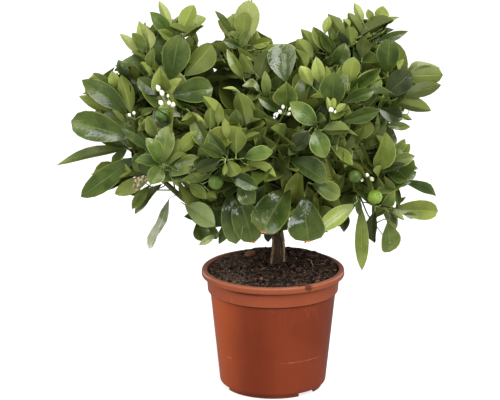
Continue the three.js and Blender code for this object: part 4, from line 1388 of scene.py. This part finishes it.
def grow_to(place, way, mass, least=0.0):
    """Grows a twig to a place, arriving along `way`, and returns its last node."""
    place, way = np.array(place), np.array(way) / norm(way)
    start = best_node(place, way, least)
    reach = place - node_place[start]
    distance = norm(reach)
    leaving = node_way[start] * 0.45 + reach / distance * 0.55
    steps = max(2, int(round(distance / GROW_STEP)))
    curve = hermite(node_place[start], leaving * distance, place, way * distance * 0.8, steps)
    if min(depth_in_crown(point) for point in curve) < -STRAY:
        curve = hermite(node_place[start], reach * 0.9 + leaving * distance * 0.1, place, reach, steps)
    parent = start
    for point in curve:
        before = node_place[parent]
        parent = add_node(point, (point - before) / norm(point - before), parent, mass)
    return parent


def carry(node, leaves=1.0):
    """Adds a load of leaves to a node and to all the twigs below it."""
    while node >= LIMB_NODES:
        node_load[node] += leaves
        node = node_parent[node]


print(LIMB_NODES, "nodes on the limbs")

# %% [markdown]
# ### Branches into the masses
# Between the twelve boughs and the sprays the plant has a layer of branches that nobody sees. A few points
# are dealt out deep inside each mass, and a branch is grown to each of them, the nearest ones first. The
# sprays branch off these, so that their twigs come from behind the leaves instead of crossing the front.

# %% Branches nobody sees
BRANCHES_PER_MASS, BRANCH_TRIES, BRANCH_DEPTH, BRANCH_LOAD = 6, 300, 13 * MM, 3
BRANCH_ROOT = np.array((0, 0.01, 0.24))
branch_dice = random.Random(11)


def from_wood(place):
    """How far a place is from the limbs."""
    return norm(node_place[:LIMB_NODES] - place, axis=1).min()


branch_ends = [(short(name), place) for name in MASSES for place in
               points_inside(name, BRANCH_TRIES, BRANCHES_PER_MASS, BRANCH_DEPTH, branch_dice)]
branch_ends.sort(key=lambda end: from_wood(end[1]))
for mass, place in branch_ends:
    carry(grow_to(place, place - BRANCH_ROOT, mass), BRANCH_LOAD)
print(len(branch_ends), "hidden branches,", len(node_mass), "nodes")

# %% [markdown]
# ### From a spray to blades
# A listed spray first gets its twig. Each leaf's stalk then leaves that twig at the nearest point. If
# the leaf sits too far off for a stalk, a short side twig is grown towards it. Fold, curl and twist are
# drawn for each leaf from a seeded generator, so that no two leaves are alike.

# %% Placed sprays
LONGEST_STALK, MIRROR_STRAY, LOOK_STRAY = 13 * MM, 0.06, 0.26
leaf_dice = random.Random(7)
blades = {}  # mass: [(blade, stalk points)]


def drawn(value, low, high):
    """A value that was asked for, or one drawn between two others."""
    return leaf_dice.uniform(low, high) if value is None else value


def hang_leaf(mass, base, tip, width, facing, tone, fold=None, curl=None, wave=None, point=None, twist=None):
    """Puts one leaf on the nearest twig of the plant."""
    way = unit(tip - base)
    node = best_node(base, way, 2.5 * MM)
    if norm(base - node_place[node]) > LONGEST_STALK:
        node = grow_to(base - way * 6 * MM, way, mass)
    carry(node)
    start = node_place[node]
    gap = norm(base - start)
    leaving = unit(base - start + way * 0.002)
    stalk = [start, *hermite(start, leaving * gap, base + way * 0.5 * MM, way * gap, 3)]
    blade = Blade(base, tip, facing, width, tone, drawn(fold, 0.25, 0.85), drawn(curl, -0.03, 0.15),
                  drawn(wave, 0.06, 0.2), drawn(twist, -0.6, 0.6), leaf_dice.uniform(-0.2, 0.7),
                  leaf_dice.uniform(0, 6), drawn(point, 0.72, 1.0))
    blades.setdefault(mass, []).append((blade, stalk))
    return blade


placed = []
for mass, end, leaves in SPRAYS:
    ends = [(np.array(spot(*leaf[3:6])), np.array(spot(*leaf[:3]))) for leaf in leaves]
    heading = unit(sum(unit(tip - base) for base, tip in ends) + (0, -0.3, 0.3))
    carry(grow_to(spot(*end), heading, mass), 0.5)
    for leaf, (base, tip) in zip(leaves, ends):
        width, name, *shape = leaf[6:]
        look, tone = name.split() if " " in name else ("front", name)
        stray = MIRROR_STRAY if look == "mirror" else LOOK_STRAY
        facing = np.array(LOOKS[look]) + any_of(leaf_dice.gauss, 0, stray)
        placed.append(hang_leaf(mass, base, tip, width * MM, facing, tone, *shape))
print(len(placed), "leaves placed,", len(node_mass), "nodes")

# %% [markdown]
# ### Where the front shows what
# The other leaves are dealt out by chance, and they may not spoil the placed ones. A small map of the
# front view keeps, for each of its points, how near the nearest placed leaf is. A leaf of chance that
# would stand before it is refused. A few open windows in the crown, where the wall behind shows through,
# are kept free in the same way, and so is all that lies outside the outline of the masses.

# %% Map of the front view
OPEN_WINDOWS = [  # first and last column, first and last row
    (269, 283, 112, 120), (283, 289, 115, 119), (294, 302, 126, 130), (285, 289, 134, 138),
    (148, 175, 189, 216), (222, 226, 221, 230), (186, 190, 197, 202), (206, 216, 0, 42), (276, 290, 0, 46),
    (60, 110, 140, 158), (100, 150, 205, 260), (200, 240, 248, 262), (418, 440, 134, 178),
    (412, 450, 98, 130), (400, 412, 134, 142), (366, 374, 222, 262), (398, 430, 222, 262),
    (312, 352, 244, 262), (262, 276, 14, 36), (256, 262, 8, 26), (270, 278, 36, 42), (271, 276, 50, 55),
    (312, 324, 12, 24), (150, 156, 18, 28), (171, 177, 4, 16), (190, 197, 30, 42), (121, 134, 152, 160),
    (402, 416, 188, 199), (385, 408, 128, 139), (80, 94, 100, 112), (215, 222, 40, 50), (270, 277, 44, 53),
    (397, 403, 38, 50), (402, 408, 50, 65), (364, 372, 210, 220), (279, 296, 34, 42), (408, 440, 52, 63),
    (258, 268, 24, 38),
]
OUTLINE_TRIES, IN_FRONT = 24000, 4 * MM
ALL_CELLS = (PICTURE[1], PICTURE[0])
front_near, front_far = np.full(ALL_CELLS, np.inf), np.full(ALL_CELLS, np.inf)
front_seen, front_open = np.zeros(ALL_CELLS, bool), np.zeros(ALL_CELLS, bool)
for first_column, last_column, first_row, last_row in OPEN_WINDOWS:
    front_open[first_row:last_row, first_column:last_column] = True


def cells_of(points):
    """Rows and columns of the map, and how far each point is from the camera."""
    columns, rows = seen_at(points)
    at = (np.clip(rows, 0, PICTURE[1] - 1).astype(int), np.clip(columns, 0, PICTURE[0] - 1).astype(int))
    return at, (points - np.array(CAMERA_PLACE)) @ np.array(AHEAD)


for blade in placed:
    at, near = cells_of(blade_points(blade, *DENSE))
    np.minimum.at(front_near, at, near)
    front_seen[at] = True
front_crown = front_seen.copy()
for name in MASSES:
    at, near = cells_of(surface_points(name, OUTLINE_TRIES, random.Random(3))[0])
    front_crown[at] = True
    np.minimum.at(front_far, at, near)


def spoiling(base, tip, width, facing):
    """How much of a leaf would stand before a placed one or outside the crown. 1 if it closes a window."""
    trial = Blade(base, tip, facing, width, "dark", 0.2, 0, 0, 0, 0, 0, 0.8)
    at, near = cells_of(blade_points(trial, *OUTLINE))
    if front_open[at].any():
        return 1.0
    before = np.isfinite(front_near[at]) & (near < front_near[at] + IN_FRONT)
    return float((before | ~front_crown[at]).mean())


print("share of the view with placed leaves:", round(float(front_seen.mean()), 3),
      "and inside the crown's outline:", round(float(front_crown.mean()), 3))

# %% [markdown]
# ### Shoots of chance
# Points are dealt out over the masses' surfaces, at least three centimetres apart. Each one gets a short
# shoot that comes from inside and bends towards the light, with leaves set round it in the golden angle,
# the way citrus does it. A second helping of darker shoots fills the inside of each mass.

# %% Dealing out shoots
SHOOT_GAP, SURFACE_TRIES, BURIED = 33 * MM, 90, 6 * MM
INNER_PER_MASS, INNER_TRIES, INNER_DEPTH, HOLLOW_SHOOTS = 5, 200, 14 * MM, 12
GOLDEN = radians(137.5)
CROWN_MIDDLE = np.array((0, 0.01, 0.33))
ATTEMPTS, FOOT_GAP, PAST_CROWN, MOST_SPOILT = 4, 6.5 * MM, 8 * MM, 0.05
CHANCE = [  # least and most fold, curl, wave, twist, cup, phase and point
    (0.3, 0.95), (-0.03, 0.15), (0.06, 0.2), (-0.7, 0.7), (-0.2, 0.7), (0, 6), (0.72, 1.0)]
grow_dice = random.Random(23)


def surface_tone(place):
    """Young tones high and far out, old ones low and deep."""
    height = (place[2] - 0.24) / 0.26 + grow_dice.gauss(0, 0.28)
    if height > 1.0:
        return grow_dice.choice(["pale", "fresh", "fresh", "mid", "mid", "olive"])
    if height > 0.5:
        return grow_dice.choice(["fresh", "mid", "mid", "dark", "olive", "shiny", "dark"])
    return grow_dice.choice(["mid", "dark", "dark", "shiny", "old", "shiny", "olive"])


def leafy_shoot(mass, start, way, length, count, tone, sizes):
    """A shoot with leaves set round it."""
    node = grow_to(start, way, mass)
    bend = unit(way + (0, 0, 0.45))
    end = start + unit(way + bend) * length
    first = len(node_mass)
    curve = hermite(start, way * length, end, bend * length, max(2, round(length / (5 * MM))))
    for point in curve:
        parent = node if len(node_mass) == first else len(node_mass) - 1
        add_node(point, unit(point - node_place[parent]), parent, mass)
    spin, hung = grow_dice.uniform(0, 2 * pi), 0
    side = unit(np.cross(bend, (0.3, 0.2, 1)))
    other = np.cross(bend, side)
    for i in range(count):
        share = 1 - i / count
        at = first + int(round((len(curve) - 1) * share))
        spread = radians(18 + 56 * (1 - share) + grow_dice.gauss(0, 9)) if i else 0.15
        for attempt in range(ATTEMPTS):
            spin += GOLDEN + grow_dice.gauss(0, 0.25)
            out = side * cos(spin) + other * sin(spin)
            leaf_way = unit(node_way[at] * cos(spread) + out * sin(spread) + (0, 0, 0.12))
            leaf_length = grow_dice.uniform(*sizes) * MM * (1 - 0.07 * attempt)
            base = node_place[at] + leaf_way * FOOT_GAP
            tip = base + leaf_way * leaf_length
            facing = unit(bend + (0, 0, 0.5) - out * 0.3)
            width = leaf_length * grow_dice.uniform(0.42, 0.54)
            if depth_in_crown(tip) > -PAST_CROWN and spoiling(base, tip, width, facing) < MOST_SPOILT:
                shade = tone if grow_dice.random() < 0.8 else grow_dice.choice(["mid", "dark", "fresh"])
                carry(at)
                stalk = [node_place[at], *hermite(
                    node_place[at], leaf_way * 0.006, base + leaf_way * 0.0005, leaf_way * 0.006, 2)]
                blade = Blade(base, tip, facing, width, shade, *(leaf_dice.uniform(*pair) for pair in CHANCE))
                blades.setdefault(mass, []).append((blade, stalk))
                front_seen[cells_of(blade_points(blade, *DENSE))[0]] = True
                hung += 1
                break
    if hung:
        carry(node, 0.5)
    return hung


starts, shoots = [], []
BUSHY = [name for name in MASSES if not name.endswith("_drop")]
for name in BUSHY:
    for place, outward in zip(*surface_points(name, SURFACE_TRIES, grow_dice)):
        buried = max(depth_in(other, place) for other in MASSES if other != name)
        if buried > BURIED or any(norm(place - known) < SHOOT_GAP for known in starts):
            continue
        starts.append(place)
        way = unit(outward * 0.6 + unit(place - CROWN_MIDDLE) * 0.7 + (0, 0, 0.25))
        shoots.append((name, place - way * 48 * MM, way, 28 * MM, 7, surface_tone(place), (54, 78)))
for name in BUSHY:
    for place in points_inside(name, INNER_TRIES, INNER_PER_MASS, INNER_DEPTH, grow_dice):
        way = unit(unit(place - CROWN_MIDDLE) + any_of(grow_dice.gauss, 0, 0.5) + (0, 0, 0.3))
        tone = grow_dice.choice(["dark", "dark", "mid", "mid", "olive", "fresh"])
        shoots.append((name, place - way * 16 * MM, way, 20 * MM, 5, tone, (52, 74)))
inner_count = len(shoots) - len(starts)
while len(shoots) < len(starts) + inner_count + HOLLOW_SHOOTS:
    offset = np.array(any_of(grow_dice.uniform, -1, 1))
    if norm(offset) > 0.85:
        continue
    place = HOLLOW_MIDDLE + offset * HOLLOW_REACH
    way = unit(offset * 0.6 + (0, -0.1, 0.8))
    tone = grow_dice.choice(["dark", "dark", "mid", "mid", "fresh"])
    shoots.append(("foliage_heart", place - way * 14 * MM, way, 20 * MM, 6, tone, (44, 66)))
hung = 0
for name, start, *rest in sorted(shoots, key=lambda shoot: from_wood(shoot[1])):
    hung += leafy_shoot(short(name), start, *rest)
print(len(starts), "surface shoots,", len(shoots) - len(starts), "inner shoots,", hung, "leaves of chance")

# %% [markdown]
# ### Closing the front
# Where the front view still has gaps inside the crown's outline, single leaves are set behind the placed
# ones, just under the surface of the mass that stands there. The gaps are visited in a seeded order, and
# each new leaf is entered in the map.

# %% Leaves behind the placed ones
FILL_TRIES, FILL_MARGIN, FILL_SPOILT = 2600, 3, 0.14
LEAST_MIDDLE_DEPTH, LEAST_FOOT_DEPTH = 2 * MM, 3 * MM
fill_dice = random.Random(77)


def shrunk(mask, steps):
    """The mask without its outermost cells."""
    for _ in range(steps):
        mask = mask & np.roll(mask, 1, 0) & np.roll(mask, -1, 0) & np.roll(mask, 1, 1) & np.roll(mask, -1, 1)
    return mask


wanted = shrunk(front_crown, FILL_MARGIN) & ~front_open
filled = 0
for attempt in range(FILL_TRIES):
    gaps = np.argwhere(wanted & ~front_seen)
    if not len(gaps):
        break
    row, column = (int(v) for v in gaps[fill_dice.randrange(len(gaps))])
    if not np.isfinite(front_far[row, column]):
        continue
    surface_y = (front_far[row, column] * cos(CAMERA_DIP) + CAMERA_PLACE.y) / MM
    depth = surface_y + fill_dice.uniform(8, 46)
    middle = np.array(spot(column + fill_dice.gauss(0, 4), row + fill_dice.gauss(0, 4), depth))
    if depth_in_crown(middle) < LEAST_MIDDLE_DEPTH:
        continue
    lean = fill_dice.gauss(0, 0.9)
    way = np.array((sin(lean), fill_dice.gauss(-0.1, 0.35), cos(lean) * 0.9))
    way = unit(way + unit(middle - CROWN_MIDDLE) * 0.5)
    length = fill_dice.uniform(46, 72) * MM
    base, tip = middle - way * length / 2, middle + way * length / 2
    if depth_in_crown(base) < LEAST_FOOT_DEPTH:
        continue
    look = np.array(LOOKS[fill_dice.choice(["front", "front", "raised", "back", "up"])])
    facing = look + any_of(fill_dice.gauss, 0, 0.35)
    width = length * fill_dice.uniform(0.40, 0.52)
    if spoiling(base, tip, width, facing) > FILL_SPOILT:
        continue
    by_height = fill_dice.random() < 0.6
    tone = surface_tone(middle) if by_height else fill_dice.choice(["dark", "mid", "shiny", "olive"])
    mass = max(MASSES, key=lambda name: depth_in(name, middle))
    blade = hang_leaf(short(mass), base, tip, width, facing, tone)
    front_seen[cells_of(blade_points(blade, *DENSE))[0]] = True
    filled += 1
print(filled, "leaves behind,", (wanted & ~front_seen).sum(), "of", wanted.sum(), "cells still open")

# %% [markdown]
# ## Fruit
# The unripe fruit is a slightly flattened green ball, two centimetres across, with a fine pitted rind, a
# small scar at its free end and a green five-lobed calyx where it hangs. It is a UV sphere whose poles are
# pushed in. All fruit is one joined mesh.

# %% Fruit shape
DENT, DENT_REACH, CALYX_LOBES = 0.10, 0.2, 5


def make_fruit():
    """A ball with its top and bottom pushed in."""
    bpy.ops.mesh.primitive_uv_sphere_add(segments=28, ring_count=18, radius=1)
    ball = bpy.context.object
    places = places_of(ball.data)
    reach = np.hypot(places[:, 0], places[:, 1])
    places[:, 2] *= 0.93 - DENT * np.exp(-(reach / DENT_REACH) ** 2)
    set_places(ball.data, places)


def make_calyx():
    """A green star of five lobes, drawn as a disc whose rim is pulled in between the lobes."""
    bpy.ops.mesh.primitive_cylinder_add(vertices=20, radius=1, depth=0.28)
    star = bpy.context.object
    places = places_of(star.data)
    turn = np.arctan2(places[:, 1], places[:, 0])
    places[:, :2] *= (0.72 + 0.28 * np.cos(CALYX_LOBES * turn))[:, None]
    set_places(star.data, places)


fruit_shape, calyx_shape = shape_arrays(make_fruit, "fruit"), shape_arrays(make_calyx, "calyx")

# %% Hanging the fruit
FRUITS = [  # column, row and depth, which way the free end looks, radius in mm, rind
    ((216, 182, -128), (0.25, -1, -0.15), 9.9, 0), ((375, 197, -84), (0.2, -0.8, -0.6), 9.8, 4),
    ((355, 176, -78), (-0.3, -0.8, -0.5), 9.2, 0), ((162, 115, -84), (-0.3, -0.8, -0.6), 9.6, 0),
]
CHANCE_FRUITS, FRUIT_GAP, BEHIND = 12, 0.05, 0.03


def set_at(shape, size, way, place, index):
    """A small shape in millimetres, turned so that its top looks a given way."""
    turn = np.array(Vector(way).normalized().to_track_quat("Z", "Y").to_matrix())
    return shape[0] * (size * MM) @ turn.T + place, shape[1], index


def stalk_between(start, end, way, radius, index, sides=5):
    """A thin stalk that arrives along a way."""
    gap = norm(end - start)
    points = [start, *hermite(start, unit(end - start) * gap, end, unit(way) * gap, 4)]
    return *tube(points, [radius * MM] * len(points), sides), index


chosen = [(np.array(spot(*place)), unit(free_end), radius, ripe) for place, free_end, radius, ripe in FRUITS]
fruit_dice, grown = random.Random(5), len(node_mass)
while len(chosen) < len(FRUITS) + CHANCE_FRUITS:
    node = fruit_dice.randrange(LIMB_NODES, grown)
    place = node_place[node] + np.array((fruit_dice.gauss(0, 0.006), fruit_dice.gauss(0, 0.006), -0.021))
    apart = min(norm(place - other[0]) for other in chosen)
    if place[1] > BEHIND and 0.004 < depth_in_crown(place) < 0.022 and apart > FRUIT_GAP and node_mass[node]:
        free_end = unit((fruit_dice.gauss(0, 0.3), fruit_dice.gauss(0, 0.3), -1))
        chosen.append((place, free_end, fruit_dice.uniform(8.4, 10.2), int(fruit_dice.random() < 0.25)))
fruit_parts = []
for place, free_end, radius, ripe in chosen:
    crown = place - free_end * radius * MM * 0.86
    node = best_node(crown, free_end, 3 * MM)
    carry(node, 2)
    fruit_parts.append(set_at(fruit_shape, radius, -free_end, place, ripe))
    fruit_parts.append(set_at(calyx_shape, 2.9, -free_end, crown, 2))
    fruit_parts.append(stalk_between(node_place[node], crown, free_end, 0.75, 3))
print(len(chosen), "fruits")

# %% Rind


def rind(name, deep, light):
    """Finely pitted rind."""
    material, shader = new_material(name)
    where = place_on(shader)
    cells = add("TexVoronoi", {"Vector": where, "Scale": 600.0}).outputs["Distance"]
    base = mixed(ramp(mottle(where, 12, 2), 0.35, 0.65), deep, light)
    base = mixed(ramp(cells, 0.35, 0.05, 0, 0.35), base, "b9c060")
    wear(shader, base, 0.3, 0.35)
    relief(shader, cells, 0.5)
    return material


def soft_green(name, deep, light, roughness, size_mm=3):
    """A soft mottled colour for calyx, stalk and bud."""
    material, shader = new_material(name)
    where = place_on(shader)
    cloud = mottle(where, size_mm, 3)
    wear(shader, mixed(ramp(cloud, 0.35, 0.65), deep, light), roughness)
    relief(shader, cloud, 0.1)
    return material


finish_piece(mesh_of("fruit", fruit_parts, [
    rind("rind_green", "33481a", "4a6026"), rind("rind_yellowing", "82932c", "a3ab38"),
    soft_green("calyx_green", "45602a", "647c33", 0.55), soft_green("fruit_stalk", "4a5c2a", "6c7a3c", 0.6),
    rind("rind_light", "516a18", "70862f")]), [])

# %% [markdown]
# ## Buds
# White buds stand in small clusters where a leaf meets its twig. A bud is a ball drawn out to a blunt egg,
# with five petals that press lightly against each other and a small green calyx.

# %% Buds
BUD_CLUSTERS = [  # column, row, depth and length in mm of each bud
    [(158, 88, -76, 9), (162, 93, -78, 9), (168, 96, -80, 5), (161, 103, -82, 9), (169, 103, -80, 7),
     (173, 105, -78, 9)],
    [(129.5, 115, -52, 6), (134, 113, -52, 6)],
    [(280, 112, -98, 8), (283, 107, -98, 7), (290, 109, -98, 6), (289, 114, -98, 7)],
    [(331, 110, -120, 9), (335, 112, -120, 5)],
    [(362, 180, -76, 6), (367, 175, -76, 8), (372, 179, -74, 8)],
]
CHANCE_CLUSTERS, PETALS = 14, 5


def make_bud():
    """A blunt egg, furrowed between its petals."""
    bpy.ops.mesh.primitive_uv_sphere_add(segments=15, ring_count=10, radius=1)
    bud = bpy.context.object
    places = places_of(bud.data)
    turn = np.arctan2(places[:, 1], places[:, 0])
    rise = (places[:, 2] + 1) / 2
    furrows, egg = 0.94 + 0.08 * np.cos(PETALS * turn), 0.42 + 0.26 * np.sin(rise * pi) + 0.06 * rise
    places[:, :2] *= (furrows * egg)[:, None]
    set_places(bud.data, places)


bud_shape = shape_arrays(make_bud, "bud")
bud_dice, bud_parts, buds = random.Random(9), [], 0
clusters = [[(np.array(spot(*place)), length) for *place, length in cluster] for cluster in BUD_CLUSTERS]
while len(clusters) < len(BUD_CLUSTERS) + CHANCE_CLUSTERS:
    node = bud_dice.randrange(LIMB_NODES, grown)
    if node_place[node][1] > BEHIND and -0.004 < depth_in_crown(node_place[node]) < 0.024:
        foot = node_place[node] + unit(node_way[node]) * 6 * MM
        clusters.append([(foot + np.array(any_of(bud_dice.gauss, 0, 0.0035)) + (0, 0, 0.004),
                          bud_dice.uniform(5, 7.5)) for _ in range(bud_dice.randint(2, 4))])
for cluster in clusters:
    middle = sum(place for place, length in cluster) / len(cluster)
    node = best_node(middle, (0, 0, 1), 4 * MM)
    carry(node, 1)
    for place, length in cluster:
        way = unit(place - node_place[node] + (0, 0, 0.004))
        foot = place - way * (length / 2 * MM) * 0.9
        bud_parts.append(set_at(bud_shape, length / 2, way, place, 0))
        bud_parts.append(set_at(calyx_shape, length * 0.24, way, foot, 1))
        bud_parts.append(stalk_between(node_place[node], foot, way, 0.42, 2))
        buds += 1
finish_piece(mesh_of("buds", bud_parts, [
    soft_green("bud_white", "d6d3b8", "eeeedd", 0.45, 5), soft_green("bud_calyx", "8c9a55", "a9b56e", 0.55),
    soft_green("bud_stalk", "7d8c4c", "9aa860", 0.55)]), [])
print(buds, "buds")

# %% [markdown]
# ## Twigs
# All nodes are grown, so the thickness of every twig is known. Each chain of nodes becomes one tapering
# tube that starts inside the wood it branches from. The tubes of one mass are one piece.

# %% Twigs as tubes
THINNEST, THICKEST, PER_LOAD, SLENDER = 0.55, 2.9, 0.17, 1.3


def twig_radius(node):
    """Radius of a twig in millimetres."""
    return min(THINNEST + PER_LOAD * sqrt(node_load[node]), THICKEST)


total = len(node_mass)
heaviest = {}
for node in range(LIMB_NODES, total):
    parent = node_parent[node]
    if parent >= LIMB_NODES and (parent not in heaviest or node_load[node] > node_load[heaviest[parent]]):
        heaviest[parent] = node
twigs = {}  # mass: [(part, places for the bark's pattern, sizes)]
for node in range(LIMB_NODES, total):
    parent = node_parent[node]
    if heaviest.get(parent) == node or node_load[node] == 0:
        continue
    chain = [node]
    while chain[-1] in heaviest and node_load[heaviest[chain[-1]]] > 0:
        chain.append(heaviest[chain[-1]])
    radii = [twig_radius(n) for n in chain]
    radii = [radii[0]] + radii
    radii[-1] *= 0.8
    points = [node_place[parent]] + [node_place[n] for n in chain]
    sides = 8 if radii[0] > SLENDER else 6
    vertices, faces = tube(points, [r * MM for r in radii], sides)
    centres = np.repeat(np.array(points), sides, axis=0)
    along = np.repeat(np.arange(len(points)) * GROW_STEP / MM * SQUEEZE, sides)
    spots = (vertices - centres) / MM + np.outer(along, (0.3, 0.5, 0.8)) + node * 0.37
    twigs.setdefault(node_mass[node], []).append(((vertices, faces, 0), spots, np.repeat(radii, sides)))
twig_material = bark_material("twig_bark")
for mass, rows in sorted(twigs.items()):
    parts, spots, sizes = zip(*rows)
    piece = mesh_of("twigs_" + mass, parts, [twig_material])
    mark(piece, "limb_spot", np.concatenate(spots))
    mark(piece, "limb_size", np.concatenate(sizes))
    finish_piece(piece, ["foliage_" + mass])

# %% [markdown]
# ## The leaves as pieces
# The leaves of each mass are joined from arrays into one mesh. Two UV maps go with it. `leaf` runs along
# and across each blade and places its markings. `OFBake` gives each leaf its own cell in a grid, with the
# upper side, the underside and the stalk each in a strip of their own, so that a baked picture of the
# colours keeps every leaf apart.

# %% Joining leaves
STALK_SIDES, STALK_LEAST, STALK_PER_WIDTH = 4, 0.55, 5.0
STRIPS = np.array([(0.56, 0.985), (0.105, 0.53), (0.015, 0.075)])  # upper side, underside, stalk


def leaf_part(blade, stalk):
    """Points, quads, side of each quad and the along and across values of each corner of a leaf."""
    points = blade_points(blade, grid_s, grid_v, grid_lift)
    radius = (STALK_LEAST + STALK_PER_WIDTH * blade.width) * MM
    tube_points, tube_faces = tube(stalk, [radius * 1.1] + [radius * 0.8] * (len(stalk) - 1), STALK_SIDES)
    tube_s, tube_v = [], []
    for face in tube_faces:
        if len({c // STALK_SIDES for c in face}) == 1:
            tube_s.append([0.0 if face[0] < STALK_SIDES else 1.0] * 4)
            tube_v.append([-0.02, 0.02, 0.02, -0.02])
            continue
        tube_s.append([(c // STALK_SIDES) / (len(stalk) - 1) for c in face])
        tube_v.append([(face[0] % STALK_SIDES + step) / STALK_SIDES * 2 - 1 for step in (0, 1, 1, 0)])
    return (np.concatenate([points, tube_points]),
            np.concatenate([grid_quads, np.array(tube_faces) + len(points)]),
            np.concatenate([grid_sides, np.full(len(tube_faces), STALK)]),
            np.concatenate([grid_s[grid_quads], tube_s]), np.concatenate([grid_v[grid_quads], tube_v]))


def leaves_piece(mass, hung):
    """All leaves of one mass as one object."""
    grid = ceil(sqrt(len(hung) / 2))
    rows = ceil(len(hung) / grid)
    parts, own_uv, bake_uv = [], [], []
    for i, (blade, stalk) in enumerate(hung):
        points, quads, sides, quad_s, quad_v = leaf_part(blade, stalk)
        slots = np.where(sides == STALK, tone_slots["stalk"], tone_slots[blade.tone] + sides)
        parts.append((points, quads.tolist(), slots.tolist()))
        over = quad_v * 0.5 + 0.5
        own_uv.append(np.stack([quad_s, over], axis=-1))
        low, high = STRIPS[sides].T[:, :, None]
        across = low + (high - low) * over
        along = (i % grid + 0.02 + 0.96 * quad_s) / grid
        bake_uv.append(np.stack([along, (i // grid + across) / rows], axis=-1))
    piece = mesh_of("leaves_" + mass, parts, leaf_materials)
    for name, values in (("leaf", own_uv), ("OFBake", bake_uv)):
        layer = piece.data.uv_layers.new(name=name)
        layer.data.foreach_set("uv", np.concatenate(values).reshape(-1))
    return piece


for mass, hung in sorted(blades.items()):
    finish_piece(leaves_piece(mass, hung), ["foliage_" + mass], smooth_deg=32)
print(sum(len(hung) for hung in blades.values()), "leaves in", len(blades), "pieces")

# %% [markdown]
# ## Size of the dressed model
# The dressed plant is built to the size of the plain one. Both boxes are printed, so that they can be
# compared.

# %% Size
visual_low, visual_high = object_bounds()
sizes = {"cad": [list(cad_low), list(cad_high)], "visual": [list(visual_low), list(visual_high)]}
print("plain  ", [round(v / MM, 1) for v in (*cad_low, *cad_high)])
print("dressed", [round(v / MM, 1) for v in (*visual_low, *visual_high)])
